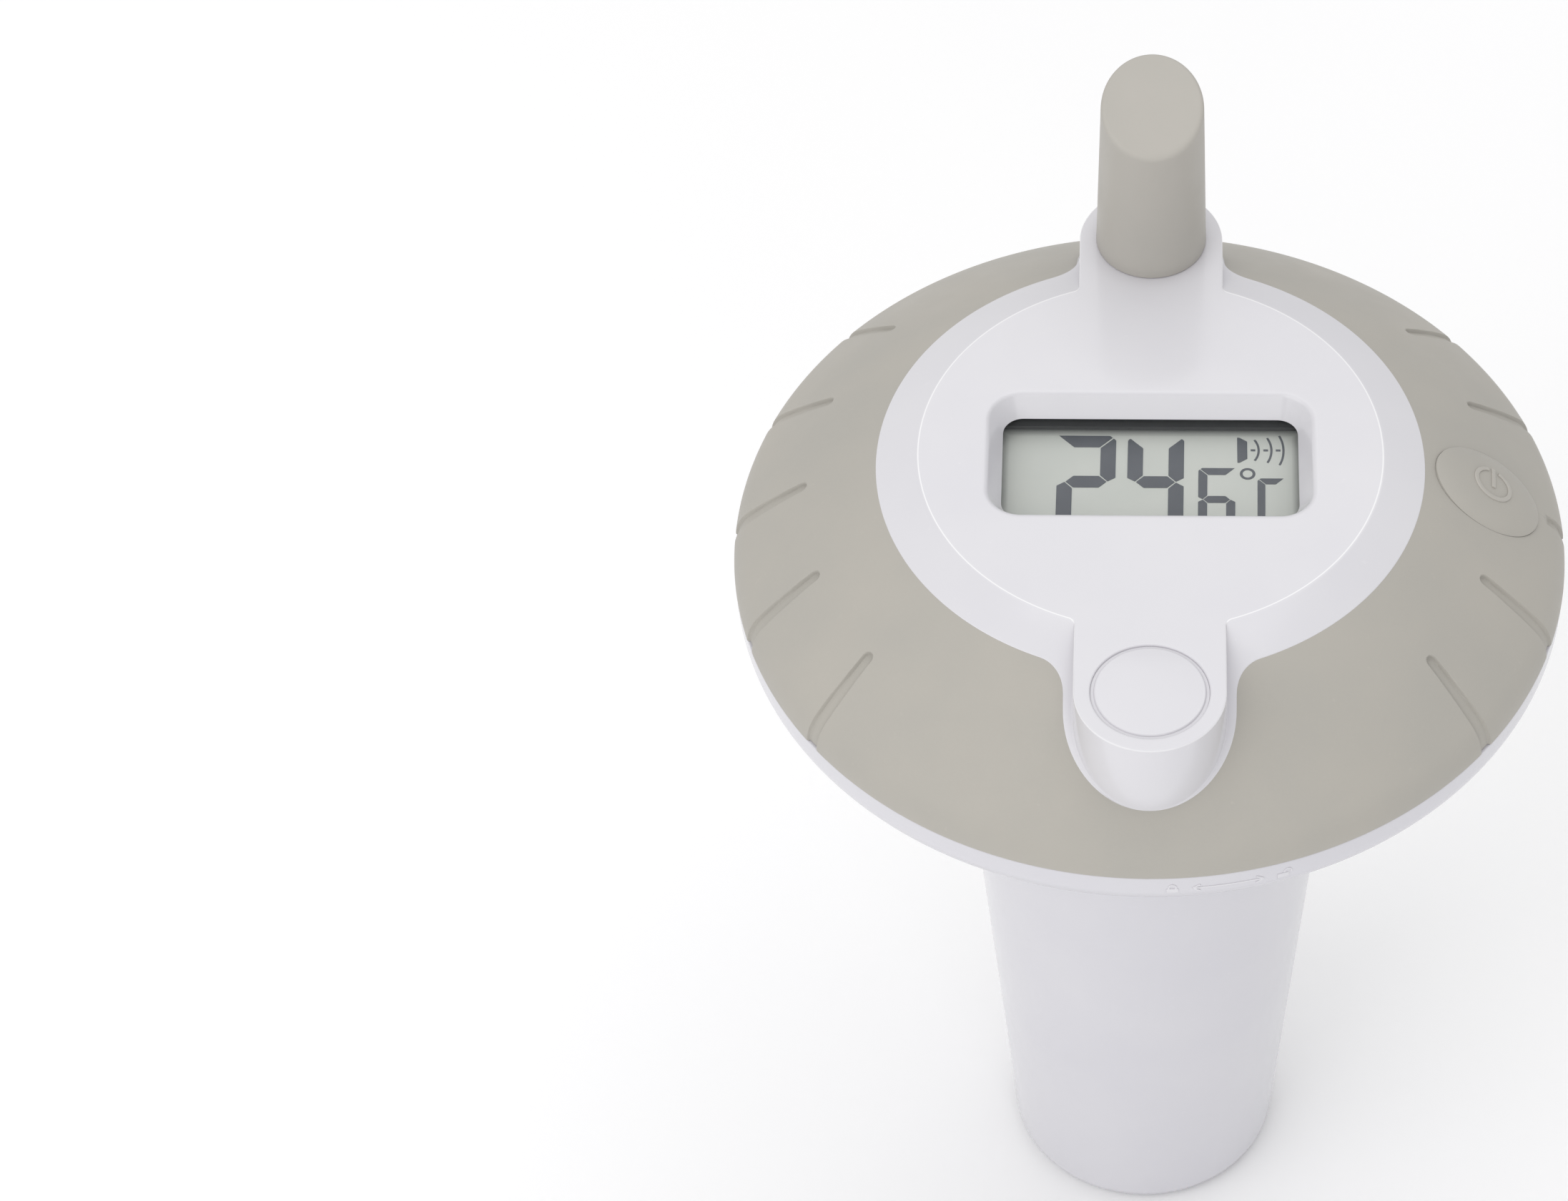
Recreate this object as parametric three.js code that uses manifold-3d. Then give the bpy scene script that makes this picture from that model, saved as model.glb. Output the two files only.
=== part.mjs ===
// Floating pool thermometer: a display head that twists off a ballasted, tapered float body.
// Millimetres, +Z up. The origin is the centre of the foot ring that the float body stands on.
// The display reads from -Y, the antenna stands at +Y and the power button is at +X.
import * as THREE from 'three';
import { mergeVertices } from 'three/addons/utils/BufferGeometryUtils.js';
import Module from 'manifold-3d';

const wasm = await Module();
wasm.setup();

// ---- driving dimensions -------------------------------------------------------------------
const HEAD_RADIUS = 62.5;
const PARTING_Z = 144.5; // head meets float body here
const GAP = 0.3; // air left between neighbouring pieces

const EDGE_ROUND = 7.2; // round at the widest part of the dome
const EDGE_SWEEP = Math.PI / 4; // how far up that round runs
const DOME_RADIUS = 73.4; // shallow arc from the edge round up to the display plate
const PLATE_Z = PARTING_Z + 21.9;
const SHELL_WALL = 2.2;
const SKIN_WALL = 1.5;
const SKIN_DEPTH = SKIN_WALL + GAP; // how deep the shell is sunk under the grip skin
const WHITE_RADIUS = 40.6; // edge of the grip skin around the display plate

const ARM_HALF_WIDTH = 10.9;
const ARM_FOOT = 0.3; // draft of the arm walls, measured at their foot
const ARM_ROOF = 3;
const ARM_WALL = 2;
const FRONT_ARM_Y = -45.7;
const REAR_ARM_Y = 43.4;
const LOBE_HALF_WIDTH = 11.8;
const FRONT_LOBE_Y = -45.3;
const LOBE_FILLET = 5;

const WINDOW_Y = -0.55;
const WINDOW_WIDTH = 43.8;
const WINDOW_HEIGHT = 19.7;
const WINDOW_BEVEL = 2.2;
const WINDOW_DEPTH = 3.5;
const WINDOW_CORNER = 3;
const PANE_LAP = 6; // the pane is this much wider than the opening it sits behind

const GROOVE_START = 51.2;
const GROOVE_WIDTH = 1.6;
const GROOVE_DEPTH = 0.5;
const GROOVE_PITCH = THREE.MathUtils.degToRad(19.5);
const GROOVE_SHIFT = THREE.MathUtils.degToRad(0.9);

const BUTTON_R = 50.4; // centre of the power button, from the axis
const BUTTON_LONG = 9.6; // half lengths of its oval outline
const BUTTON_SHORT = 7.4;
const BUTTON_CROWN = 1.3;

const RIM_WALL = 2.2;
const RIM_STRAIGHT = 3;
const RIM_ROUND = 4.1;
const TUBE_FOOT_RADIUS = 21.8;
const TUBE_TAPER = 0.0717; // radius gained per millimetre of height
const TUBE_WALL = 2.3;
const FOOT_ROUND = 2.4;
const NECK_BORE = 28.4;
const COLLAR_RADIUS = 31.4;
const COLLAR_TOP = PARTING_Z + 3.2;

const SPIGOT_RADIUS = 27.9;
const LUG_COUNT = 3;
const LUG_ANGLE = THREE.MathUtils.degToRad(12);
const TWIST_ANGLE = THREE.MathUtils.degToRad(40);
const LUG_LOW = PARTING_Z - 0.9;
const LUG_HIGH = PARTING_Z + 1.3;
const LUG_REACH = 30.6;

const ANTENNA_BASE_RADIUS = 8.4;
const ANTENNA_TIP_RADIUS = 7.9;
const ANTENNA_MID_HEIGHT = 28.4; // above the display plate, on the antenna's axis
const ANTENNA_SLANT = 0.455; // rise of the slanted tip per millimetre towards the rear

const CELL_RADIUS = 7.25;
const CELL_LENGTH = 50.5;
const CELL_X = 7.6;
const CELL_TOP = PARTING_Z - 3.5;

const ROUND_FINE = 40; // segments of the big turned pieces
const ROUND_SMALL = 16; // segments of the small ones

// ---- colours and finishes -----------------------------------------------------------------
const FINISH = {
  whitePlastic: { color: 0xe4e3e6, roughness: 0.22, metalness: 0 },
  greySoftTouch: { color: 0xb5b1a7, roughness: 0.62, metalness: 0 },
  clearPlastic: { color: 0xe8eef0, roughness: 0.05, metalness: 0 },
  blackPlastic: { color: 0x2a2b2d, roughness: 0.5, metalness: 0 },
  displayGlass: { color: 0xb8bbb5, roughness: 0.25, metalness: 0 },
  elastomer: { color: 0x8d8f94, roughness: 0.8, metalness: 0 },
  circuitBoard: { color: 0x1f6b45, roughness: 0.45, metalness: 0 },
  brightSteel: { color: 0xc6c8cb, roughness: 0.28, metalness: 1 },
  darkSteel: { color: 0x77797c, roughness: 0.45, metalness: 1 },
  brass: { color: 0xcaa64b, roughness: 0.3, metalness: 1 },
  blackRubber: { color: 0x1c1c1d, roughness: 0.85, metalness: 0 },
  cellWrap: { color: 0x3f5c7a, roughness: 0.35, metalness: 0.2 },
};

// ---- geometry helpers ---------------------------------------------------------------------
function signedVolume(geometry) {
  const position = geometry.attributes.position;
  const index = geometry.index.array;
  const [a, b, c] = [new THREE.Vector3(), new THREE.Vector3(), new THREE.Vector3()];
  let volume = 0;
  for (let i = 0; i < index.length; i += 3) {
    a.fromBufferAttribute(position, index[i]);
    b.fromBufferAttribute(position, index[i + 1]);
    c.fromBufferAttribute(position, index[i + 2]);
    volume += a.dot(b.cross(c)) / 6;
  }
  return volume;
}

// Joins shared corners, drops triangles that collapsed, and faces the surface outwards.
function closed(geometry) {
  const bare = geometry.clone();
  bare.deleteAttribute('normal');
  bare.deleteAttribute('uv');
  const merged = mergeVertices(bare, 1e-3);
  const source = merged.index.array;
  const kept = [];
  for (let i = 0; i < source.length; i += 3) {
    const [a, b, c] = [source[i], source[i + 1], source[i + 2]];
    if (a !== b && b !== c && c !== a) kept.push(a, b, c);
  }
  merged.setIndex(kept);
  if (signedVolume(merged) < 0) merged.setIndex(kept.reverse());
  return merged;
}

function toSolid(geometry) {
  const clean = closed(geometry);
  return new wasm.Manifold(
    new wasm.Mesh({
      numProp: 3,
      vertProperties: new Float32Array(clean.attributes.position.array),
      triVerts: new Uint32Array(clean.index.array),
    }),
  );
}

function toGeometry(solid) {
  const mesh = solid.getMesh();
  const geometry = new THREE.BufferGeometry();
  geometry.setAttribute('position', new THREE.BufferAttribute(mesh.vertProperties, 3));
  geometry.setIndex(new THREE.BufferAttribute(mesh.triVerts, 1));
  return geometry;
}

function join(first, ...others) {
  return toGeometry(others.reduce((sum, other) => sum.add(toSolid(other)), toSolid(first)));
}

function cut(first, ...others) {
  return toGeometry(others.reduce((rest, other) => rest.subtract(toSolid(other)), toSolid(first)));
}

function common(first, second) {
  return toGeometry(toSolid(first).intersect(toSolid(second)));
}

function turned(profile, segments = ROUND_SMALL) {
  const points = profile.map(([r, z]) => new THREE.Vector2(r, z));
  return new THREE.LatheGeometry(points, segments).rotateX(Math.PI / 2);
}

// A turned ring: its profile closes on itself.
function turnedRing(profile, segments = ROUND_SMALL) {
  return turned([...profile, profile[0]], segments);
}

function rod(radius, low, high, segments = ROUND_SMALL) {
  return turned([[0, low], [radius, low], [radius, high], [0, high]], segments);
}

function tube(outer, inner, low, high, segments = ROUND_SMALL) {
  return turnedRing([[outer, low], [outer, high], [inner, high], [inner, low]], segments);
}

function block(width, depth, low, high, x = 0, y = 0) {
  return new THREE.BoxGeometry(width, depth, high - low).translate(x, y, (low + high) / 2);
}

function prism(shape, low, high, curveSegments = 6) {
  const settings = { depth: high - low, bevelEnabled: false, curveSegments };
  return new THREE.ExtrudeGeometry(shape, settings).translate(0, 0, low);
}

function wireAlong(curve, radius, steps, halfSides) {
  const section = new THREE.Shape();
  section.absarc(0, 0, radius, 0, 2 * Math.PI);
  const settings = { steps, extrudePath: curve, bevelEnabled: false, curveSegments: halfSides };
  return new THREE.ExtrudeGeometry(section, settings);
}

// Skins two rings of matching points and closes each end with a fan.
function loft(lowRing, highRing) {
  const count = lowRing.length;
  const middle = (ring) => ring.reduce((sum, p) => sum.add(p), new THREE.Vector3()).divideScalar(count);
  const points = [...lowRing, ...highRing, middle(lowRing), middle(highRing)];
  const index = [];
  for (let i = 0; i < count; i += 1) {
    const next = (i + 1) % count;
    index.push(i, next, count + next, i, count + next, count + i);
    index.push(2 * count, next, i, 2 * count + 1, count + i, count + next);
  }
  return new THREE.BufferGeometry().setFromPoints(points).setIndex(index);
}

function ringAt(shape, z, divisions = 6) {
  const points = shape.getPoints(divisions);
  if (points[0].distanceTo(points.at(-1)) < 1e-6) points.pop();
  return points.map((p) => new THREE.Vector3(p.x, p.y, z));
}

function roundedRectangle(width, height, corner, y = 0) {
  const [x1, y1] = [width / 2 - corner, height / 2 - corner];
  const shape = new THREE.Shape();
  shape.absarc(x1, y - y1, corner, -Math.PI / 2, 0);
  shape.absarc(x1, y + y1, corner, 0, Math.PI / 2);
  shape.absarc(-x1, y + y1, corner, Math.PI / 2, Math.PI);
  shape.absarc(-x1, y - y1, corner, Math.PI, 1.5 * Math.PI);
  shape.closePath();
  return shape;
}

function annulusSector(inner, outer, from, to) {
  const shape = new THREE.Shape();
  shape.absarc(0, 0, outer, from, to, false);
  shape.absarc(0, 0, inner, to, from, true);
  shape.closePath();
  return shape;
}

// A straight tongue of the given half width from startY to a round end about endY.
function tongue(halfWidth, startY, endY) {
  const side = halfWidth * Math.sign(endY - startY);
  const from = side > 0 ? 0 : Math.PI;
  const shape = new THREE.Shape();
  shape.moveTo(side, startY);
  shape.lineTo(side, endY);
  shape.absarc(0, endY, halfWidth, from, from + Math.PI);
  shape.lineTo(-side, startY);
  shape.closePath();
  return shape;
}

// A disc with a tongue to the front and one to the rear, filleted where they meet.
function keyOutline(radius, halfWidth, frontY, rearY, fillet) {
  const side = halfWidth + fillet;
  const rise = Math.sqrt((radius + fillet) ** 2 - side ** 2);
  const turn = Math.atan2(rise, side);
  const shape = new THREE.Shape();
  shape.absarc(0, frontY, halfWidth, Math.PI, 2 * Math.PI, false);
  shape.absarc(side, -rise, fillet, Math.PI, Math.PI - turn, true);
  shape.absarc(0, 0, radius, -turn, turn, false);
  shape.absarc(side, rise, fillet, Math.PI + turn, Math.PI, true);
  shape.absarc(0, rearY, halfWidth, 0, Math.PI, false);
  shape.absarc(-side, rise, fillet, 0, -turn, true);
  shape.absarc(0, 0, radius, Math.PI - turn, Math.PI + turn, false);
  shape.absarc(-side, -rise, fillet, turn, 0, true);
  shape.closePath();
  return shape;
}

// The part of the dome left uncovered by the grip skin, grown or shrunk a little.
function whiteOutline(grow) {
  const radius = WHITE_RADIUS + grow;
  return keyOutline(radius, LOBE_HALF_WIDTH + grow, FRONT_LOBE_Y, REAR_ARM_Y, LOBE_FILLET);
}

// ---- the dome -----------------------------------------------------------------------------
const EDGE_CENTRE = new THREE.Vector2(HEAD_RADIUS - EDGE_ROUND, PARTING_Z);
const EDGE_NORMAL = new THREE.Vector2(Math.cos(EDGE_SWEEP), Math.sin(EDGE_SWEEP));
const DOME_CENTRE = EDGE_CENTRE.clone().addScaledVector(EDGE_NORMAL, EDGE_ROUND - DOME_RADIUS);

// Points of the dome's outline from the parting plane up to a flat top, sunk by an offset.
function domeOutline(offset, top) {
  const points = [];
  for (let i = 0; i <= 3; i += 1) {
    const angle = (EDGE_SWEEP * i) / 3;
    const reach = EDGE_ROUND - offset;
    points.push([EDGE_CENTRE.x + reach * Math.cos(angle), EDGE_CENTRE.y + reach * Math.sin(angle)]);
  }
  const radius = DOME_RADIUS - offset;
  const topAngle = Math.asin((top - DOME_CENTRE.y) / radius);
  for (let i = 1; i <= 4; i += 1) {
    const angle = EDGE_SWEEP + ((topAngle - EDGE_SWEEP) * i) / 4;
    points.push([DOME_CENTRE.x + radius * Math.cos(angle), DOME_CENTRE.y + radius * Math.sin(angle)]);
  }
  return points;
}

function domeSolid(offset, top = PLATE_Z - offset, skirt = 0) {
  const outline = domeOutline(offset, top);
  const low = PARTING_Z - skirt;
  return turned([[0, low], [outline[0][0], low], ...outline, [0, top]], ROUND_FINE);
}

const BUTTON_NORMAL = (BUTTON_R - DOME_CENTRE.x) / DOME_RADIUS;
const BUTTON_TILT = Math.asin(BUTTON_NORMAL);
const BUTTON_Z = DOME_CENTRE.y + DOME_RADIUS * Math.cos(BUTTON_TILT);

// Carries a geometry from the button's own frame, +Z out of the dome, into the head.
function atButton(geometry) {
  return geometry.rotateY(BUTTON_TILT).translate(BUTTON_R, 0, BUTTON_Z);
}

function buttonOval(grow, low, high) {
  const shape = new THREE.Shape();
  shape.absellipse(0, 0, BUTTON_LONG + grow, BUTTON_SHORT + grow, 0, 2 * Math.PI);
  return prism(shape, low, high, 12);
}

// ---- head casing --------------------------------------------------------------------------
function arm(endY) {
  const startY = Math.sign(endY) * 20;
  const foot = tongue(ARM_HALF_WIDTH + ARM_FOOT, startY, endY);
  const top = tongue(ARM_HALF_WIDTH, startY, endY);
  return loft(ringAt(foot, PARTING_Z + 6), ringAt(top, PLATE_Z));
}

function armHollow(endY) {
  const startY = Math.sign(endY) * 26;
  return prism(tongue(ARM_HALF_WIDTH - ARM_WALL, startY, endY), PARTING_Z + 4, PLATE_Z - ARM_ROOF, 6);
}

function windowCutter() {
  const outer = (z, grow) => {
    const width = WINDOW_WIDTH + 2 * grow;
    const height = WINDOW_HEIGHT + 2 * grow;
    return ringAt(roundedRectangle(width, height, WINDOW_CORNER + grow, WINDOW_Y), z, 4);
  };
  const low = PLATE_Z - WINDOW_DEPTH;
  const slope = WINDOW_BEVEL / WINDOW_DEPTH;
  const bevel = loft(outer(low - 1, -slope), outer(PLATE_Z + 1, WINDOW_BEVEL + slope));
  const opening = roundedRectangle(WINDOW_WIDTH, WINDOW_HEIGHT, WINDOW_CORNER, WINDOW_Y);
  return join(bevel, prism(opening, low - 4, low + 0.5, 4));
}

const FLOOR_SCREW_R = 46;
const floorScrewSpots = [45, 135, 225, 315].map((degrees) => {
  const angle = THREE.MathUtils.degToRad(degrees);
  return [FLOOR_SCREW_R * Math.cos(angle), FLOOR_SCREW_R * Math.sin(angle)];
});
const pcbScrewSpots = [[-33, 10], [33, 10], [0, -19]];
const PCB_LOW = PARTING_Z + 9.7;
const PCB_HIGH = PCB_LOW + 1.6;
const FLOOR_LOW = PARTING_Z - 3.9;
const FLOOR_HIGH = FLOOR_LOW + 2;

function boss(radius, bore, low, high, [x, y]) {
  return tube(radius, bore, low, high, 16).translate(x, y, 0);
}

// Rods of one size at each of the given spots, to join or to drill with.
function rodsAt(spots, radius, low, high, segments = 12) {
  return spots.map(([x, y]) => rod(radius, low, high, segments).translate(x, y, 0));
}

function headShell() {
  const whiteZone = whiteOutline(-GAP / 2);
  const face = common(domeSolid(0), prism(whiteZone, PARTING_Z + 2, PLATE_Z + 1));
  const body = join(domeSolid(SKIN_DEPTH, PLATE_Z - SKIN_DEPTH), face, arm(FRONT_ARM_Y), arm(REAR_ARM_Y));
  const hollow = cut(
    body,
    domeSolid(SKIN_DEPTH + SHELL_WALL, PLATE_Z - SKIN_DEPTH - SHELL_WALL, 5),
    armHollow(FRONT_ARM_Y),
    armHollow(REAR_ARM_Y),
  );
  const [seatWidth, seatHeight] = [WINDOW_WIDTH + PANE_LAP + 2 * GAP, WINDOW_HEIGHT + PANE_LAP + 2 * GAP];
  const paneSeat = block(seatWidth, seatHeight, PCB_HIGH, PLATE_Z - WINDOW_DEPTH, 0, WINDOW_Y);
  const floorBosses = floorScrewSpots.map((spot) => {
    return boss(3.4, 1.4, FLOOR_HIGH + GAP, PARTING_Z + 11.6, spot);
  });
  const pcbBosses = pcbScrewSpots.map((spot) => boss(2.6, 1.35, PCB_HIGH + GAP, PLATE_Z - 3, spot));
  return cut(
    join(hollow, ...floorBosses, ...pcbBosses),
    paneSeat,
    windowCutter(),
    rod(8.5, PLATE_Z - 1.5, PLATE_Z + 1, 24).translate(0, FRONT_ARM_Y, 0),
    rod(6.9, PLATE_Z - 4, PLATE_Z + 1, 24).translate(0, REAR_ARM_Y, 0),
    atButton(buttonOval(0.35, -2.5, 3)),
    atButton(rod(2.6, -6, 0)),
  );
}

function gripSkin() {
  const outside = domeOutline(0, PLATE_Z);
  const inside = domeOutline(SKIN_WALL, PLATE_Z - SKIN_WALL).reverse();
  const dome = turnedRing([...outside, ...inside], ROUND_FINE);
  const opening = prism(whiteOutline(GAP / 2), PARTING_Z - 1, PLATE_Z + 1);
  const skin = cut(dome, opening, atButton(buttonOval(0.35, -4, 3)));
  return cut(skin, grooves());
}

// Ten radial finger grooves, five on each side and mirrored, running out over the rim.
function grooves() {
  const slots = [];
  for (const side of [0, Math.PI]) {
    for (let i = -2; i <= 2; i += 1) {
      const start = i === 0 && side === 0 ? BUTTON_R + BUTTON_LONG - 1 : GROOVE_START;
      const end = HEAD_RADIUS + 4;
      const slot = block(end - start, GROOVE_WIDTH, PARTING_Z - 1, PLATE_Z, (start + end) / 2);
      const turn = GROOVE_SHIFT + i * GROOVE_PITCH;
      slots.push(slot.rotateZ(side === 0 ? turn : side - turn));
    }
  }
  return cut(join(...slots), domeSolid(GROOVE_DEPTH, PLATE_Z - GROOVE_DEPTH, 2));
}

function frontBadge() {
  return rod(8.15, PLATE_Z - 1.2, PLATE_Z, 24).translate(0, FRONT_ARM_Y, 0);
}

const HAT_RADIUS = 34;
const HAT_LOW = PARTING_Z + 3.6;
const HAT_HIGH = HAT_LOW + 2;
const SENSOR_LEAD_Y = 11.4;
const SPIGOT_END = PARTING_Z - 20;
const SEAL_Z = PARTING_Z - 10.7;
const holderScrewSpots = [[20, 0], [-20, 0]];
const leadSpots = [[-CELL_X, 0], [CELL_X, 0]];

function headFloor() {
  const profile = [
    [0, HAT_LOW], [25.6, HAT_LOW], [25.6, SPIGOT_END], [SPIGOT_RADIUS, SPIGOT_END],
    [SPIGOT_RADIUS, SEAL_Z - 1.2], [26.3, SEAL_Z - 1.2], [26.3, SEAL_Z + 1.2],
    [SPIGOT_RADIUS, SEAL_Z + 1.2], [SPIGOT_RADIUS, HAT_LOW], [HAT_RADIUS - 2, HAT_LOW],
    [HAT_RADIUS - 2, FLOOR_LOW], [58.1, FLOOR_LOW], [58.1, FLOOR_HIGH], [HAT_RADIUS, FLOOR_HIGH],
    [HAT_RADIUS, HAT_HIGH], [0, HAT_HIGH],
  ];
  const lugs = [];
  for (let i = 0; i < LUG_COUNT; i += 1) {
    const middle = Math.PI / 2 + (i * 2 * Math.PI) / LUG_COUNT;
    const sector = annulusSector(27, LUG_REACH, middle - LUG_ANGLE / 2, middle + LUG_ANGLE / 2);
    lugs.push(prism(sector, LUG_LOW, LUG_HIGH, 3));
  }
  const posts = rodsAt(holderScrewSpots, 2.8, HAT_HIGH - 0.5, HAT_HIGH + 2.6, 16);
  const screwHoles = rodsAt(floorScrewSpots, 1.5, FLOOR_LOW - 1, FLOOR_HIGH + 1);
  const postHoles = rodsAt(holderScrewSpots, 1.35, HAT_LOW - 1, HAT_HIGH + 2);
  const leadHoles = rodsAt(leadSpots, 0.9, HAT_LOW - 1, HAT_HIGH + 1, 10);
  const sensorHole = rod(1.4, HAT_LOW - 1, HAT_HIGH + 1, 12).translate(0, SENSOR_LEAD_Y, 0);
  const plate = join(turned(profile, ROUND_FINE), ...lugs, ...posts);
  return cut(plate, ...screwHoles, ...postHoles, ...leadHoles, sensorHole);
}

// A pan-headed screw standing on its head, with a hexagon socket in the head.
function screw(shankRadius, headRadius, headHeight, length, [x, y], underHead) {
  const profile = [
    [0, underHead - headHeight], [headRadius * 0.8, underHead - headHeight],
    [headRadius, underHead - headHeight * 0.6], [headRadius, underHead], [shankRadius, underHead],
    [shankRadius, underHead + length - 0.6], [shankRadius * 0.4, underHead + length],
    [0, underHead + length],
  ];
  const socket = rod(headRadius * 0.45, underHead - headHeight - 1, underHead - headHeight * 0.4, 6);
  return cut(turned(profile, 10), socket).translate(x, y, 0);
}

// ---- display stack ------------------------------------------------------------------------
const PANE_HIGH = PLATE_Z - WINDOW_DEPTH - GAP;
const PANE_LOW = PANE_HIGH - 1.2;
const FRAME_HIGH = PANE_LOW - GAP;
const LCD_HIGH = FRAME_HIGH - 1;
const LCD_LOW = LCD_HIGH - 2;
const LCD_WIDTH = WINDOW_WIDTH + 4;
const LCD_HEIGHT = WINDOW_HEIGHT + 5;

function displayWindow() {
  const outline = roundedRectangle(WINDOW_WIDTH + PANE_LAP, WINDOW_HEIGHT + PANE_LAP, 2, WINDOW_Y);
  return prism(outline, PANE_LOW, PANE_HIGH, 4);
}

function lcdFrame() {
  const outer = block(LCD_WIDTH + 5, LCD_HEIGHT + 5, PCB_HIGH + GAP, FRAME_HIGH, 0, WINDOW_Y);
  const pocket = block(LCD_WIDTH + 0.8, LCD_HEIGHT + 0.8, PCB_HIGH - 1, LCD_HIGH + GAP, 0, WINDOW_Y);
  const opening = block(WINDOW_WIDTH + 0.4, WINDOW_HEIGHT + 0.4, PCB_HIGH - 1, FRAME_HIGH + 1, 0, WINDOW_Y);
  return cut(outer, pocket, opening);
}

function lcdPanel() {
  return block(LCD_WIDTH, LCD_HEIGHT, LCD_LOW, LCD_HIGH, 0, WINDOW_Y);
}

function zebraStrip(side) {
  const y = WINDOW_Y + side * (LCD_HEIGHT / 2 - 2);
  return block(LCD_WIDTH - 6, 2.4, PCB_HIGH + GAP, LCD_LOW - GAP, 0, y);
}

function mainBoard() {
  const outline = roundedRectangle(76, 40, 3, -2);
  const holes = rodsAt(pcbScrewSpots, 1.4, PCB_LOW - 1, PCB_HIGH + 1);
  return cut(prism(outline, PCB_LOW, PCB_HIGH, 4), ...holes);
}

// ---- antenna ------------------------------------------------------------------------------
function antennaCover() {
  const low = PLATE_Z + GAP;
  const count = 32;
  const ring = (radius, height) => {
    const points = [];
    for (let i = 0; i < count; i += 1) {
      const angle = (i * 2 * Math.PI) / count;
      const [x, y] = [radius * Math.cos(angle), radius * Math.sin(angle)];
      points.push(new THREE.Vector3(x, y, height(y)));
    }
    return points;
  };
  const slant = (y) => PLATE_Z + ANTENNA_MID_HEIGHT + ANTENNA_SLANT * y;
  const stub = loft(ring(ANTENNA_BASE_RADIUS, () => low), ring(ANTENNA_TIP_RADIUS, slant));
  const spigot = rod(6.5, PLATE_Z - 8.3, low + 1, 24);
  const bore = rod(5.4, PLATE_Z - 9, PLATE_Z + 21, 20);
  return cut(join(stub, spigot), bore).translate(0, REAR_ARM_Y, 0);
}

class Helix extends THREE.Curve {
  constructor(radius, low, height, turns) {
    super();
    Object.assign(this, { radius, low, height, turns });
  }
  getPoint(t, target = new THREE.Vector3()) {
    const angle = t * this.turns * 2 * Math.PI;
    const [x, y] = [this.radius * Math.cos(angle), this.radius * Math.sin(angle)];
    return target.set(x, y, this.low + t * this.height);
  }
}

function coil(radius, wire, low, height, turns, x, y) {
  const helix = new Helix(radius, low, height, turns);
  return wireAlong(helix, wire, Math.round(turns * 10), 3).translate(x, y, 0);
}

function antennaLead() {
  const points = [
    new THREE.Vector3(-12, 15.3, PARTING_Z + 8.9),
    new THREE.Vector3(-9, 19, PARTING_Z + 8.4),
    new THREE.Vector3(-2, 30, PARTING_Z + 8),
    new THREE.Vector3(0, REAR_ARM_Y - 5, PARTING_Z + 9.5),
    new THREE.Vector3(0, REAR_ARM_Y, PARTING_Z + 12.6),
  ];
  return wireAlong(new THREE.CatmullRomCurve3(points), 0.5, 16, 3);
}

// ---- power button and its switch, in the button's own frame --------------------------------
function powerButton() {
  const profile = [[0, -1.4], [1, -1.4], [1, -0.5]];
  for (let i = 1; i <= 5; i += 1) {
    const angle = (i * Math.PI) / 10;
    profile.push([Math.cos(angle), -0.5 + (BUTTON_CROWN + 0.5) * Math.sin(angle)]);
  }
  profile.at(-1)[0] = 0;
  const cap = turned(profile, 24).scale(BUTTON_LONG, BUTTON_SHORT, 1);
  return join(cap, rod(2.1, -3.6, -1, 16));
}

function tactSwitch() {
  return cut(block(6.2, 6.2, -8, -4.6), rod(2.05, -6.3, -3, 16));
}

function switchBoard() {
  const holes = [-6, 6].map((y) => rod(1.2, -11, -7, 12).translate(0, y, 0));
  return cut(block(8.4, 17, -9.5, -8.3), ...holes);
}

// ---- battery carriage and sensor -----------------------------------------------------------
const HOLDER_LOW = PARTING_Z - 61;
const HOLDER_TOP = HAT_LOW - GAP;
const CELL_LOW = CELL_TOP - CELL_LENGTH;
const STEM_TOP = HOLDER_LOW - GAP;
const STEM_END = 7.5;

function batteryHolder() {
  const plate = rod(24.8, HOLDER_TOP - 2, HOLDER_TOP, 28);
  const back = block(33.2, 1.8, HOLDER_LOW, HOLDER_TOP - 1, 0, CELL_RADIUS + 1.3);
  const sides = [-1, 1].map((side) => block(1.4, 12, HOLDER_LOW, HOLDER_TOP - 1, side * 15.9, 3.4));
  const base = block(33.2, 17, HOLDER_LOW, HOLDER_LOW + 2, 0, 0.9);
  const screwHoles = rodsAt(holderScrewSpots, 1.5, HOLDER_TOP - 3, HOLDER_TOP + 1);
  const leadHoles = rodsAt(leadSpots, 0.9, HOLDER_TOP - 3, HOLDER_TOP + 1, 10);
  const sensorHole = rod(1.4, HOLDER_TOP - 3, HOLDER_TOP + 1, 12).translate(0, SENSOR_LEAD_Y, 0);
  return cut(join(plate, back, ...sides, base), ...screwHoles, ...leadHoles, sensorHole);
}

// An AA cell with its positive nub at the top or, turned over, at the bottom.
function cell(x, nubUp) {
  const profile = [
    [0, 0], [CELL_RADIUS - 0.6, 0], [CELL_RADIUS, 0.6], [CELL_RADIUS, CELL_LENGTH - 2.1],
    [CELL_RADIUS - 0.6, CELL_LENGTH - 1.5], [2.7, CELL_LENGTH - 1.5], [2.7, CELL_LENGTH], [0, CELL_LENGTH],
  ];
  const body = turned(profile, 20).translate(0, 0, -CELL_LENGTH / 2);
  if (!nubUp) body.rotateX(Math.PI);
  return body.translate(x, 0, CELL_LOW + CELL_LENGTH / 2);
}

function bridgePlate() {
  const strip = block(26, 9, HOLDER_LOW + 2.4, HOLDER_LOW + 2.9);
  return join(strip, rod(3, HOLDER_LOW + 2.6, CELL_LOW - GAP, 16).translate(CELL_X, 0, 0));
}

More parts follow.
